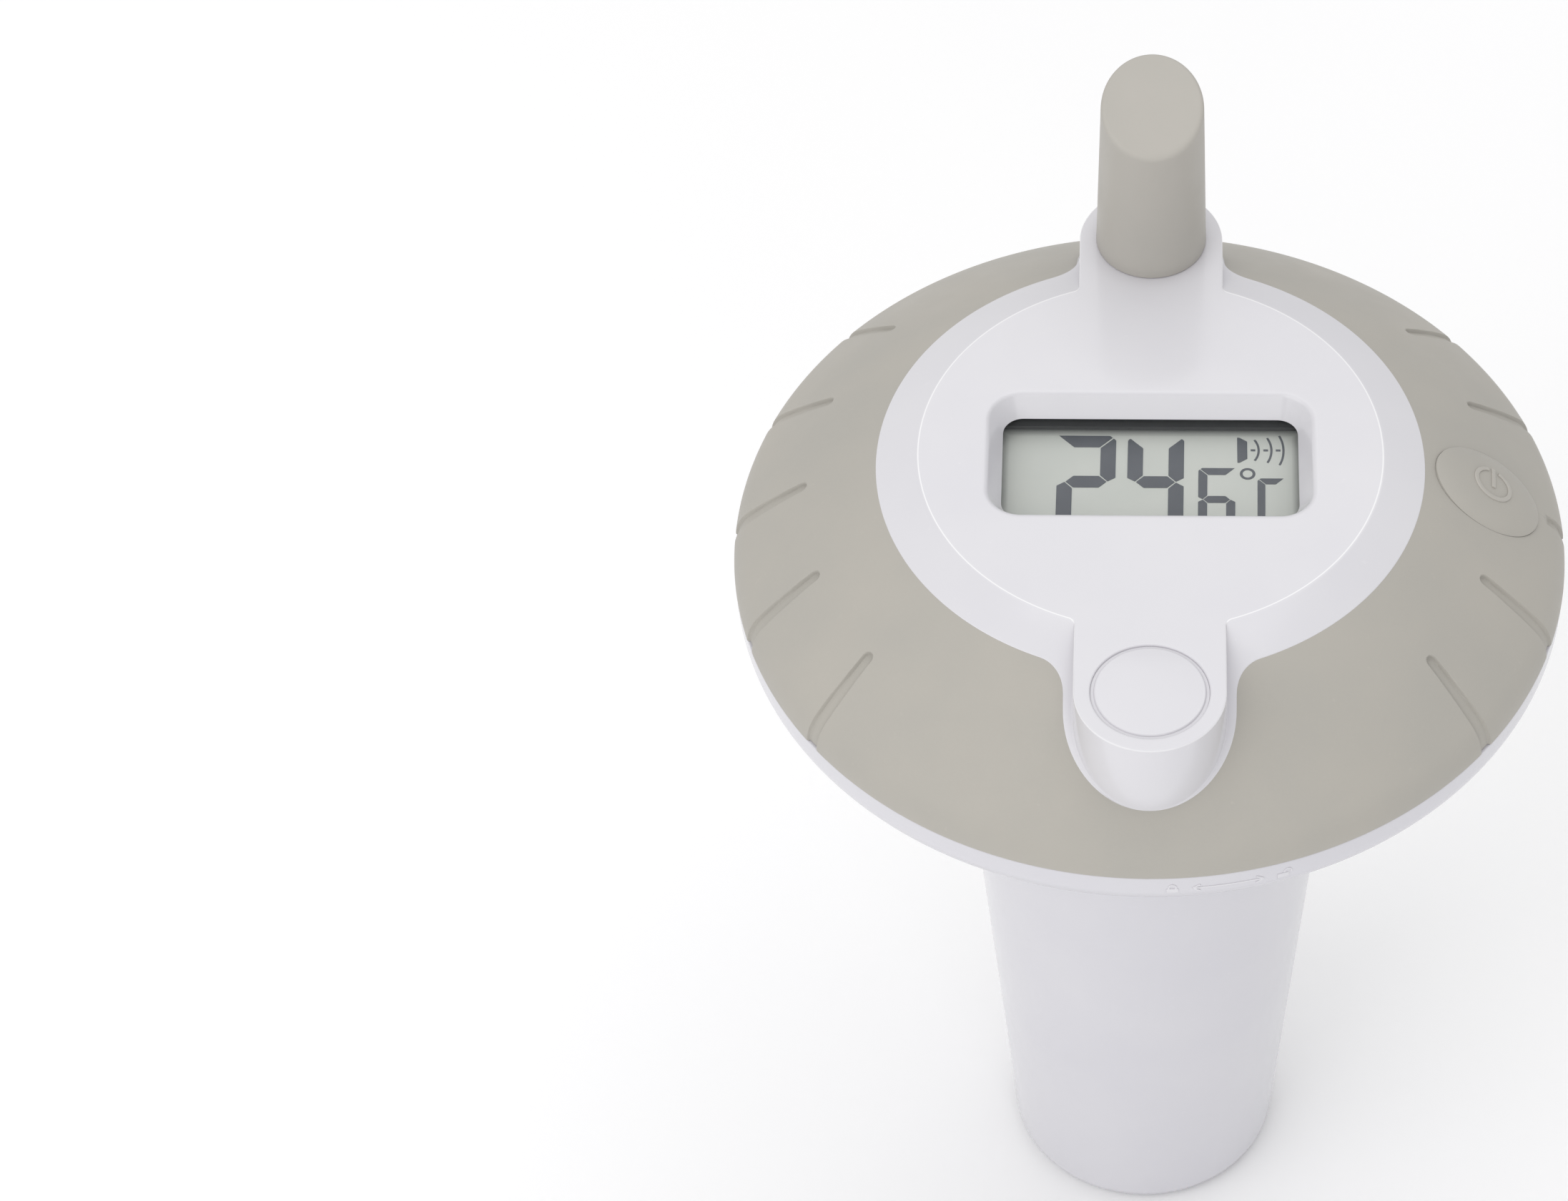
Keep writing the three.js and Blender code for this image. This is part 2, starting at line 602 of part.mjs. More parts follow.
function sensorStem() {
  const profile = [
    [4, STEM_END], [4, STEM_TOP - 4], [7, STEM_TOP - 2], [7, STEM_TOP], [2.6, STEM_TOP], [2.6, STEM_END],
  ];
  const leadWindow = block(3, 9, STEM_TOP - 20, STEM_TOP + 1, 0, 4.5);
  return cut(turnedRing(profile, 24), leadWindow);
}

const SLEEVE_LOW = 2.1;

function sensorSleeve() {
  const profile = [
    [0, SLEEVE_LOW], [2.9, SLEEVE_LOW], [3.4, SLEEVE_LOW + 0.5], [3.4, STEM_END - GAP],
    [2.3, STEM_END - GAP], [2.3, STEM_END + 6], [1.6, STEM_END + 6], [1.6, SLEEVE_LOW + 0.8],
    [0, SLEEVE_LOW + 0.8],
  ];
  return turned(profile, 20);
}

function sensorLead() {
  const points = [
    new THREE.Vector3(0, 0, SLEEVE_LOW + 3.9),
    new THREE.Vector3(0, 0, 30),
    new THREE.Vector3(0, 0, STEM_TOP - 20),
    new THREE.Vector3(0, 1.2, STEM_TOP - 13),
    new THREE.Vector3(0, 9.6, STEM_TOP - 5),
    new THREE.Vector3(0, SENSOR_LEAD_Y, STEM_TOP + 2),
    new THREE.Vector3(0, SENSOR_LEAD_Y, STEM_TOP + 30),
    new THREE.Vector3(0, SENSOR_LEAD_Y, HAT_LOW),
    new THREE.Vector3(0, SENSOR_LEAD_Y, PCB_LOW - GAP),
  ];
  return wireAlong(new THREE.CatmullRomCurve3(points, false, 'centripetal'), 0.6, 40, 3);
}

// ---- float body ---------------------------------------------------------------------------
const RIM_TOP = PARTING_Z - GAP;
const RIM_LOW = PARTING_Z - RIM_STRAIGHT - RIM_ROUND;
const tubeRadius = (z) => TUBE_FOOT_RADIUS + TUBE_TAPER * z;
const FLOOR_TOP = 3.3;
const CAP_HOLE = 5;
const BORE_LOW = PARTING_Z - 26;

function arcPoints(centreR, centreZ, radius, from, to, steps) {
  const points = [];
  for (let i = 0; i <= steps; i += 1) {
    const angle = from + ((to - from) * i) / steps;
    points.push([centreR + radius * Math.cos(angle), centreZ + radius * Math.sin(angle)]);
  }
  return points;
}

function floatBody() {
  const rimCentre = [HEAD_RADIUS - RIM_ROUND, PARTING_Z - RIM_STRAIGHT];
  const neckRound = 2;
  const neckZ = RIM_LOW - neckRound;
  const footCentre = tubeRadius(FOOT_ROUND) - FOOT_ROUND;
  const profile = [
    [HEAD_RADIUS, RIM_TOP],
    ...arcPoints(...rimCentre, RIM_ROUND, 0, -Math.PI / 2, 4),
    ...arcPoints(tubeRadius(neckZ) + neckRound, neckZ, neckRound, Math.PI / 2, Math.PI, 2),
    ...arcPoints(footCentre, FOOT_ROUND, FOOT_ROUND, 0, -Math.PI / 2, 3),
    [15.5, 0], [15, 1], [CAP_HOLE, 1], [CAP_HOLE, FLOOR_TOP],
    [tubeRadius(FLOOR_TOP) - TUBE_WALL, FLOOR_TOP],
    [tubeRadius(BORE_LOW - 6) - TUBE_WALL, BORE_LOW - 6],
    [NECK_BORE, BORE_LOW],
    [NECK_BORE, COLLAR_TOP], [COLLAR_RADIUS, COLLAR_TOP],
    [COLLAR_RADIUS, RIM_LOW + RIM_WALL], [HEAD_RADIUS - RIM_WALL - 1.5, RIM_LOW + RIM_WALL],
    [HEAD_RADIUS - RIM_WALL, RIM_LOW + RIM_WALL + 1.5], [HEAD_RADIUS - RIM_WALL, RIM_TOP],
  ];
  const clearance = THREE.MathUtils.degToRad(1);
  const slots = [];
  for (let i = 0; i < LUG_COUNT; i += 1) {
    const closedEdge = Math.PI / 2 + (i * 2 * Math.PI) / LUG_COUNT - LUG_ANGLE / 2 - clearance;
    const openEdge = closedEdge + LUG_ANGLE + TWIST_ANGLE + 2 * clearance;
    const run = annulusSector(NECK_BORE - 2, COLLAR_RADIUS + 2, closedEdge, openEdge);
    const entryEdge = openEdge - LUG_ANGLE - 2 * clearance;
    const entry = annulusSector(NECK_BORE - 2, COLLAR_RADIUS + 2, entryEdge, openEdge);
    slots.push(prism(run, LUG_LOW - 0.4, LUG_HIGH + 0.4, 6));
    slots.push(prism(entry, LUG_LOW, COLLAR_TOP + 1, 3));
  }
  return cut(turnedRing(profile, ROUND_FINE), ...slots);
}

function sensorCap() {
  const profile = [
    [0, 0.7], [4.2, 0.7], [4.7, 1.2], [4.7, FLOOR_TOP + 1.2], [7.4, FLOOR_TOP + 1.2], [7.4, FLOOR_TOP + 2],
    [3.9, FLOOR_TOP + 2], [3.9, 1.5], [0, 1.5],
  ];
  return turned(profile, 20);
}

const BALLAST_LOW = FLOOR_TOP + GAP;
const BALLAST_HIGH = BALLAST_LOW + 14;

function ballastWeight() {
  return tube(18.9, 8.3, BALLAST_LOW, BALLAST_HIGH, 28);
}

// A toothed push-in ring that holds the ballast down.
function ballastClip() {
  const low = BALLAST_HIGH + GAP;
  const teeth = [];
  for (let i = 0; i < 6; i += 1) {
    teeth.push(block(4, 3, low, low + 1, 18.4).rotateZ((i * Math.PI) / 3));
  }
  return join(tube(17.5, 13, low, low + 1, 24), ...teeth);
}

// ---- assembly -----------------------------------------------------------------------------
const group = new THREE.Group();

function add(name, geometry, finish, parent = group) {
  const mesh = new THREE.Mesh(closed(geometry), new THREE.MeshStandardMaterial(FINISH[finish]));
  mesh.name = name;
  parent.add(mesh);
}

add('float_body', floatBody(), 'whitePlastic');
add('ballast_weight', ballastWeight(), 'darkSteel');
add('ballast_clip', ballastClip(), 'brightSteel');
add('sensor_cap', sensorCap(), 'brightSteel');
add('cap_gasket', tube(7.4, 5.2, FLOOR_TOP + GAP, FLOOR_TOP + 0.9, 20), 'blackRubber');

add('head_shell', headShell(), 'whitePlastic');
add('grip_skin', gripSkin(), 'greySoftTouch');
add('front_badge', frontBadge(), 'whitePlastic');
add('head_floor', headFloor(), 'whitePlastic');
add('floor_gasket', tube(58, 56, FLOOR_HIGH + GAP, FLOOR_HIGH + 2, ROUND_FINE), 'blackRubber');
add('neck_seal', tube(28.1, 26.6, SEAL_Z - 0.8, SEAL_Z + 0.8, ROUND_FINE), 'blackRubber');
floorScrewSpots.forEach((spot, i) => {
  add(`floor_screw_${i + 1}`, screw(1.1, 2.6, 0.6, 9, spot, FLOOR_LOW - 0.1), 'brightSteel');
});

add('display_window', displayWindow(), 'clearPlastic');
add('lcd_frame', lcdFrame(), 'blackPlastic');
add('lcd_panel', lcdPanel(), 'displayGlass');
add('zebra_strip_front', zebraStrip(-1), 'elastomer');
add('zebra_strip_rear', zebraStrip(1), 'elastomer');
add('main_pcb', mainBoard(), 'circuitBoard');
add('controller_chip', block(10, 10, PCB_LOW - 1.5, PCB_LOW - GAP, 20, -12), 'blackPlastic');
add('crystal_can', block(8, 3.6, PCB_LOW - 3.2, PCB_LOW - GAP, 14, 6), 'brightSteel');
add('rf_module', block(14, 11, PCB_LOW - 1.1, PCB_LOW - GAP, -16, 9), 'circuitBoard');
add('rf_shield', block(11, 8, PCB_LOW - 3, PCB_LOW - 1.4, -17, 8), 'brightSteel');
pcbScrewSpots.forEach((spot, i) => {
  add(`pcb_screw_${i + 1}`, screw(1, 2.2, 1.3, 5.5, spot, PCB_LOW - GAP), 'brightSteel');
});

add('antenna_cover', antennaCover(), 'greySoftTouch');
const antennaSeal = tube(8.2, 6.8, PLATE_Z - 4.9, PLATE_Z - 3.3, 20);
const antennaNut = tube(8.5, 6.8, PLATE_Z - 7.9, PLATE_Z - 5.2, 20);
add('antenna_seal', antennaSeal.translate(0, REAR_ARM_Y, 0), 'blackRubber');
add('antenna_nut', antennaNut.translate(0, REAR_ARM_Y, 0), 'blackPlastic');
add('antenna_coil', coil(4.2, 0.45, PARTING_Z + 14, 26, 7, 0, REAR_ARM_Y), 'brass');
add('antenna_lead', antennaLead(), 'brass');

const buttonFrame = new THREE.Group();
buttonFrame.position.set(BUTTON_R, 0, BUTTON_Z);
buttonFrame.rotation.y = BUTTON_TILT;
group.add(buttonFrame);
add('power_button', powerButton(), 'greySoftTouch', buttonFrame);
add('switch_plunger', rod(1.7, -5.1, -3.9, 16), 'blackPlastic', buttonFrame);
add('tact_switch', tactSwitch(), 'blackPlastic', buttonFrame);
add('switch_board', switchBoard(), 'circuitBoard', buttonFrame);

add('battery_holder', batteryHolder(), 'blackPlastic');
holderScrewSpots.forEach((spot, i) => {
  add(`holder_screw_${i + 1}`, screw(1, 2.4, 1.5, 6, spot, HOLDER_TOP - 2.3), 'brightSteel');
});
add('battery_1', cell(-CELL_X, true), 'cellWrap');
add('battery_2', cell(CELL_X, false), 'cellWrap');
const stud = rod(3, CELL_TOP + GAP, HOLDER_TOP - 2 - GAP, 16);
add('positive_stud', stud.translate(-CELL_X, 0, 0), 'brightSteel');
add('top_spring', coil(3.4, 0.4, CELL_TOP + 0.9, 3, 2.5, CELL_X, 0), 'brightSteel');
add('bridge_plate', bridgePlate(), 'brightSteel');
add('bridge_spring', coil(3.4, 0.4, HOLDER_LOW + 3.8, 2.4, 2.5, -CELL_X, 0), 'brightSteel');
[-CELL_X, CELL_X].forEach((x, i) => {
  add(`battery_lead_${i + 1}`, rod(0.5, HOLDER_TOP - 2, PCB_LOW - GAP, 8).translate(x, 0, 0), 'brass');
});
add('sensor_stem', sensorStem(), 'whitePlastic');
add('sensor_sleeve', sensorSleeve(), 'brightSteel');
const bead = new THREE.SphereGeometry(0.9, 12, 8);
add('thermistor_bead', bead.translate(0, 0, SLEEVE_LOW + 2.2), 'blackPlastic');
add('sensor_lead', sensorLead(), 'blackRubber');
const grommet = tube(2.2, 1, HAT_HIGH + GAP, HAT_HIGH + 1.8, 16);
add('lead_grommet', grommet.translate(0, SENSOR_LEAD_Y, 0), 'blackRubber');

export default group;
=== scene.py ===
import math

import bmesh
import bpy
import numpy as np
from mathutils import Matrix, Vector
from mathutils.geometry import delaunay_2d_cdt


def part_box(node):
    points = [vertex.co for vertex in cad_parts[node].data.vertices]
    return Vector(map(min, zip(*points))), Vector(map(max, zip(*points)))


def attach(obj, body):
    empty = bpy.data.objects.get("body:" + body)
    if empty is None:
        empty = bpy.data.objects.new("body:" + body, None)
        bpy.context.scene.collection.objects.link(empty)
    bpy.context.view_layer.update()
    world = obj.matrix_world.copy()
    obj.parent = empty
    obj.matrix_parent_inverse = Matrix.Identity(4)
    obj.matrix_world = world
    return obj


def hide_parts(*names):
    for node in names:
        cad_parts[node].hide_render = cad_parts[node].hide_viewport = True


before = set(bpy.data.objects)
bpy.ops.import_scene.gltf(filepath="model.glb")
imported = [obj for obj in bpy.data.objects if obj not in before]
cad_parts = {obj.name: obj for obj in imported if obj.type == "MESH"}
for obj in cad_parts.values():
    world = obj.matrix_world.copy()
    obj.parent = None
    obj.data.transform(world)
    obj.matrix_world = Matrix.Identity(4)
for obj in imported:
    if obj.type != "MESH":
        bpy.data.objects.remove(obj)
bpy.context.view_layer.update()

# Visual model of the floating pool thermometer. Shapes are worked out in millimetres, in the
# frame's axes, and turned into metres when each mesh is made.
MM = 0.001


def millimetre_box(node):
    low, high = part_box(node)
    return np.array(low) / MM, np.array(high) / MM


# ---- driving dimensions ----
SKIN_LOW, SKIN_HIGH = millimetre_box("grip_skin")
PANE_LOW, PANE_HIGH = millimetre_box("display_window")
BADGE_LOW, BADGE_HIGH = millimetre_box("front_badge")
ANTENNA_LOW, ANTENNA_HIGH = millimetre_box("antenna_cover")

HEAD_RADIUS = SKIN_HIGH[0]
PARTING_Z = SKIN_LOW[2]
PLATE_Z = millimetre_box("head_shell")[1][2]
LCD_TOP = millimetre_box("lcd_panel")[1][2]
COLLAR_TOP = millimetre_box("float_body")[1][2]
SEAM_GAP = 0.06

# the dome is an arc that meets a smaller one at its rim
EDGE_ROUND = 7.2
EDGE_SWEEP = math.radians(45)
DOME_RADIUS = 73.4
EDGE_CENTRE = HEAD_RADIUS - EDGE_ROUND
DOME_CENTRE_R = EDGE_CENTRE + (EDGE_ROUND - DOME_RADIUS) * math.cos(EDGE_SWEEP)
DOME_CENTRE_Z = PARTING_Z + (EDGE_ROUND - DOME_RADIUS) * math.sin(EDGE_SWEEP)

PLATE_RADIUS = 34.3
WHITE_RADIUS = 40.6
ARM_HALF_WIDTH = 10.9
ARM_SLOPE = 0.01  # outward lean of the arm walls for each millimetre down
BADGE_Y = (BADGE_LOW[1] + BADGE_HIGH[1]) / 2
ANTENNA_Y = (ANTENNA_LOW[1] + ANTENNA_HIGH[1]) / 2
JUNCTION_FILLET = 1.2
LOBE_HALF_WIDTH = 12.4
LOBE_REACH = 12.2
LOBE_FRONT = BADGE_Y + 1.15
LOBE_FILLET = 5.5
REAR_LOBE_HALF_WIDTH = 11.3
REAR_LOBE_FILLET = 5.9
SHELL_EDGE = 0.2
SKIN_THICK = 1.5
SKIN_SUNK = 1.8  # depth of the shell's face under the skin
SHELL_WALL = 2.2
CEILING_Z = PLATE_Z - SKIN_SUNK - SHELL_WALL
PROUD = 0.05  # how far the white part of the dome stands over the skin
EDGE_HIGHLIGHT_STRENGTH = 0.7
EDGE_HIGHLIGHT_WIDTH = 0.08
EDGE_HIGHLIGHT = "painted_edge_highlight"  # mesh attribute holding the painted highlight along the plate's edge, highest on the edge and 0 away from it
RECESS_RADIUS = 8.5
RECESS_DEPTH = 1.5

PANE_LAP = 6.0  # how much wider the pane is than the opening
WINDOW_X = (PANE_HIGH[0] - PANE_LOW[0] - PANE_LAP) / 2
WINDOW_Y = (PANE_HIGH[1] - PANE_LOW[1] - PANE_LAP) / 2
WINDOW_MIDDLE = (PANE_HIGH[1] + PANE_LOW[1]) / 2
WINDOW_CORNER = 3.0
WINDOW_BEVEL = 2.2
WINDOW_DEPTH = 3.5

GROOVE_START = 51.2
GROOVE_DEPTH = 0.5
GROOVE_PITCH = 19.5
GROOVE_SHIFT = 0.9
GROOVE_HALF_WIDTH = 0.9
GROOVE_FLARE = 0.35
GROOVE_FLANK = 0.36
BUTTON_R = 50.4
BUTTON_LONG = 9.6
BUTTON_SHORT = 7.4
BUTTON_CROWN = 1.3
BUTTON_EDGE_DROP = 0.3
BUTTON_GAP = 0.04
SKIRT_LOW = -0.95
SKIRT_TOP = -0.6
STEM_LOW = -3.6
STEM_RADIUS = 2.1
STEM_HOLE = STEM_RADIUS + 0.3

ANTENNA_TAPER = 0.7
ANTENNA_MIDDLE_Z = PLATE_Z + 28.4  # height of the slanted end on the antenna's axis
COIL_BORE = 5.4
COIL_BORE_TOP = PLATE_Z + 21

RIM_RADIUS = HEAD_RADIUS - 0.1
RIM_TOP = PARTING_Z - SEAM_GAP
RIM_STRAIGHT = 3.0
RIM_ROUND = 4.1
RIM_WALL = 2.2
TUBE_FOOT = 21.8
TUBE_TAPER = 0.0717  # radius gained for each millimetre up
TUBE_WALL = 2.3
FOOT_ROUND = 2.4
FOOT_RING = 15.5  # inner radius of the ring it stands on
CAP_RECESS = 15
SENSOR_HOLE = 5
FLOOR_TOP = 3.3
NECK_BORE = 28.4
COLLAR_RADIUS = 31.4


# ---- mesh helpers ----
SHARP_ANGLE = 40


def scene_object(name, data):
    obj = bpy.data.objects.new(name, data)
    bpy.context.scene.collection.objects.link(obj)
    return obj


class Builder:
    """Collects points and faces of one mesh, in millimetres."""

    def __init__(self):
        self.points = []
        self.faces = []

    def add_ring(self, ring):
        start = len(self.points)
        self.points.extend(tuple(p) for p in ring)
        return list(range(start, len(self.points)))

    def bridge(self, first, second):
        for i in range(len(first)):
            k = (i + 1) % len(first)
            self.faces.append((first[i], first[k], second[k], second[i]))

    def rings(self, rings, before=None):
        """Adds rings and joins each to the one before it; returns the first and the last."""
        first = None
        for ring in rings:
            ids = self.add_ring(ring)
            if before is not None:
                self.bridge(before, ids)
            if first is None:
                first = ids
            before = ids
        return first, before

    def fan(self, ring, centre):
        tip = self.add_ring([centre])[0]
        for i in range(len(ring)):
            self.faces.append((ring[i], ring[(i + 1) % len(ring)], tip))

    def close(self, first, last):
        """Closes both ends of a run of rings with one face each."""
        self.faces.append(tuple(first[::-1]))
        self.faces.append(tuple(last))

    def fill(self, outer, holes=()):
        """Fills the flat region between an outer loop and its holes with triangles."""
        loops = [outer, *holes]
        ids = [i for loop in loops for i in loop]
        flat = [Vector(self.points[i][:2]) for i in ids]
        edges = []
        start = 0
        for loop in loops:
            size = len(loop)
            edges += [(start + i, start + (i + 1) % size) for i in range(size)]
            start += size
        _, _, triangles, origin, _, _ = delaunay_2d_cdt(flat, edges, [], 0, 1e-7)
        outlines = [np.array([self.points[i][:2] for i in loop]) for loop in loops]
        for triangle in triangles:
            corners = [origin[i][0] for i in triangle]
            middle = sum((flat[i] for i in corners), Vector((0, 0))) / 3
            if inside(middle, outlines[0]) and not any(inside(middle, o) for o in outlines[1:]):
                self.faces.append(tuple(ids[i] for i in corners))

    def mesh(self, name):
        mesh = bpy.data.meshes.new(name)
        mesh.from_pydata([tuple(MM * c for c in p) for p in self.points], [], self.faces)
        tool = bmesh.new()
        tool.from_mesh(mesh)
        bmesh.ops.remove_doubles(tool, verts=tool.verts, dist=1e-7)
        bmesh.ops.recalc_face_normals(tool, faces=tool.faces)
        tool.to_mesh(mesh)
        tool.free()
        return mesh

    def piece(self, name, sharp=SHARP_ANGLE):
        """The mesh as a smooth-shaded object in the scene."""
        obj = scene_object(name, self.mesh(name))
        shade(obj.data, sharp)
        return obj


def inside(point, outline):
    """Whether a ray from the point crosses the outline an odd number of times."""
    x, y = point
    x0, y0 = outline[:, 0], outline[:, 1]
    x1, y1 = np.roll(x0, -1), np.roll(y0, -1)
    crosses = (y0 > y) != (y1 > y)
    rise = np.where(crosses, y1 - y0, 1)
    return bool(np.count_nonzero(crosses & (x < (x1 - x0) * (y - y0) / rise + x0)) % 2)


def shade(mesh, sharp=SHARP_ANGLE):
    mesh.shade_smooth()
    mesh.set_sharp_from_angle(angle=math.radians(sharp))


def seat(obj, body, slot, material, *nodes):
    """Gives a piece its finish, its body and the CAD nodes it stands for."""
    obj.data.materials.clear()
    obj.data.materials.append(material)
    if nodes:
        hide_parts(*nodes)
    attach(obj, body)
    return obj


def softened(path, at, spread, samples=9):
    """The point of a path at each distance, averaged over a short stretch to round corners."""
    steps = np.linspace(-spread, spread, samples)
    return sum(path(at + step) for step in steps) / samples


def polyline(corners):
    """A path along straight runs, by distance from the first corner; runs on past both ends."""
    corners = np.array(corners, float)
    runs = np.diff(corners, axis=0)
    lengths = np.hypot(*runs.T)
    starts = np.concatenate([[0], np.cumsum(lengths)])

    def path(at):
        i = int(np.clip(np.searchsorted(starts, at, side="right") - 1, 0, len(runs) - 1))
        return corners[i] + runs[i] * (at - starts[i]) / lengths[i]

    return path, starts


def rounded_profile(corners, radius, steps=6):
    """Points of a polyline with each inner corner rounded; radius is one value or one each."""
    path, starts = polyline(corners)
    radii = np.broadcast_to(radius, len(corners))
    points = [np.array(corners[0], float)]
    for corner, r in zip(starts[1:-1], radii[1:-1]):
        if r <= 0:
            points.append(path(corner))
            continue
        for shift in np.linspace(-r, r, steps + 1):
            points.append(softened(path, corner + shift, r))
    points.append(np.array(corners[-1], float))
    return points


def circle(steps):
    """Unit vectors evenly round a full turn."""
    turn = np.arange(steps) * 2 * math.pi / steps
    return np.column_stack([np.cos(turn), np.sin(turn)])


def level(plan, z):
    """Points of a flat outline at one height."""
    return np.column_stack([plan, np.full(len(plan), z)])


def lathe(profile, segments, closed=False, centre=(0, 0)):
    """Rings of a turned piece from (radius, z) points; ends on the axis become fans."""
    build = Builder()
    way = circle(segments)
    middle = np.array([centre[0], centre[1], 0])
    rings = [level(r * way, z) + middle for r, z in profile if r >= 1e-6]
    first, last = build.rings(rings)
    if closed:
        build.bridge(last, first)
    if profile[0][0] < 1e-6:
        build.fan(first, (centre[0], centre[1], profile[0][1]))
    if profile[-1][0] < 1e-6:
        build.fan(last, (centre[0], centre[1], profile[-1][1]))
    return build


def cut_away(obj, cutter_mesh):
    """Subtracts a closed mesh from an object and applies the result."""
    cutter = scene_object("cutter", cutter_mesh)
    modifier = obj.modifiers.new("cut", "BOOLEAN")
    modifier.operation = "DIFFERENCE"
    modifier.solver = "EXACT"
    modifier.object = cutter
    bpy.context.view_layer.update()
    result = bpy.data.meshes.new_from_object(obj.evaluated_get(bpy.context.evaluated_depsgraph_get()))
    obj.modifiers.clear()
    obj.data = result
    bpy.data.objects.remove(cutter)
    shade(obj.data)


# ---- the dome ----
def dome_z(r, sunk=0.0):
    """Height of the dome at a distance from the axis, or of a copy of it sunk inwards."""
    r = np.asarray(r, float)
    reach = EDGE_ROUND - sunk
    seam = EDGE_CENTRE + reach * math.cos(EDGE_SWEEP)
    on_edge = PARTING_Z + np.sqrt(np.maximum(reach**2 - (r - EDGE_CENTRE) ** 2, 0))
    arc = (DOME_RADIUS - sunk) ** 2 - (r - DOME_CENTRE_R) ** 2
    return np.where(r > seam, on_edge, DOME_CENTRE_Z + np.sqrt(np.maximum(arc, 0)))


def on_dome(plan, lift=0.0):
    r = np.hypot(plan[:, 0], plan[:, 1])
    return np.column_stack([plan, np.minimum(dome_z(r), PLATE_Z) + lift])


# ---- outlines ----
END_STEPS, RUN_STEPS, FILLET_STEPS, SIDE_STEPS = 48, 14, 10, 84


def arc_points(centre, radius, start, stop, steps, facing=1):
    angle = start + (stop - start) * np.arange(steps) / steps
    way = np.column_stack([np.cos(angle), np.sin(angle)])
    return np.array(centre) + radius * way, facing * way


def run_points(start, stop, normal):
    share = (np.arange(RUN_STEPS) / RUN_STEPS)[:, None]
    points = np.array(start) + share * (np.array(stop) - np.array(start))
    return points, np.tile(np.array(normal, float), (RUN_STEPS, 1))


def key_outline(radius, half, front, rear, fillet):
    """A disc with a tongue to the front and to the rear: points and outward normals."""
    side = half + fillet
    rise = math.sqrt((radius + fillet) ** 2 - side**2)
    turn = math.atan2(rise, side)
    pi = math.pi
    parts = [
        arc_points((0, front), half, pi, 2 * pi, END_STEPS),
        run_points((half, front), (half, -rise), (1, 0)),
        arc_points((side, -rise), fillet, pi, pi - turn, FILLET_STEPS, -1),
        arc_points((0, 0), radius, -turn, turn, SIDE_STEPS),
        arc_points((side, rise), fillet, pi + turn, pi, FILLET_STEPS, -1),
        run_points((half, rise), (half, rear), (1, 0)),
        arc_points((0, rear), half, 0, pi, END_STEPS),
        run_points((-half, rear), (-half, rise), (-1, 0)),
        arc_points((-side, rise), fillet, 0, -turn, FILLET_STEPS, -1),
        arc_points((0, 0), radius, pi - turn, pi + turn, SIDE_STEPS),
        arc_points((-side, -rise), fillet, turn, 0, FILLET_STEPS, -1),
        run_points((-half, -rise), (-half, front), (-1, 0)),
    ]
    return np.concatenate([p for p, _ in parts]), np.concatenate([n for _, n in parts])


def plate_outline():
    return key_outline(PLATE_RADIUS, ARM_HALF_WIDTH, BADGE_Y, ANTENNA_Y, JUNCTION_FILLET)


def window_ring(grow, z, corner_steps=16, side_steps=12):
    """A rounded rectangle round the display opening, grown by some millimetres."""
    corner = WINDOW_CORNER + grow
    x, y = WINDOW_X - WINDOW_CORNER, WINDOW_Y - WINDOW_CORNER
    points = []
    for k, (cx, cy) in enumerate([(x, -y), (x, y), (-x, y), (-x, -y)]):
        start = (k - 1) * math.pi / 2
        angle = start + np.arange(corner_steps + 1) * math.pi / 2 / corner_steps
        arc = np.column_stack([cx + corner * np.cos(angle), cy + corner * np.sin(angle)])
        points.extend(arc)
        turn = start + math.pi / 2
        way = np.array([-math.sin(turn), math.cos(turn)])
        length = 2 * (x if k % 2 else y)
        for i in range(1, side_steps):
            points.append(arc[-1] + way * length * i / side_steps)
    return level(np.array(points) + np.array([0, WINDOW_MIDDLE]), z)


def circle_ring(radius, centre_y, z, steps=120):
    return level(radius * circle(steps) + np.array([0, centre_y]), z)


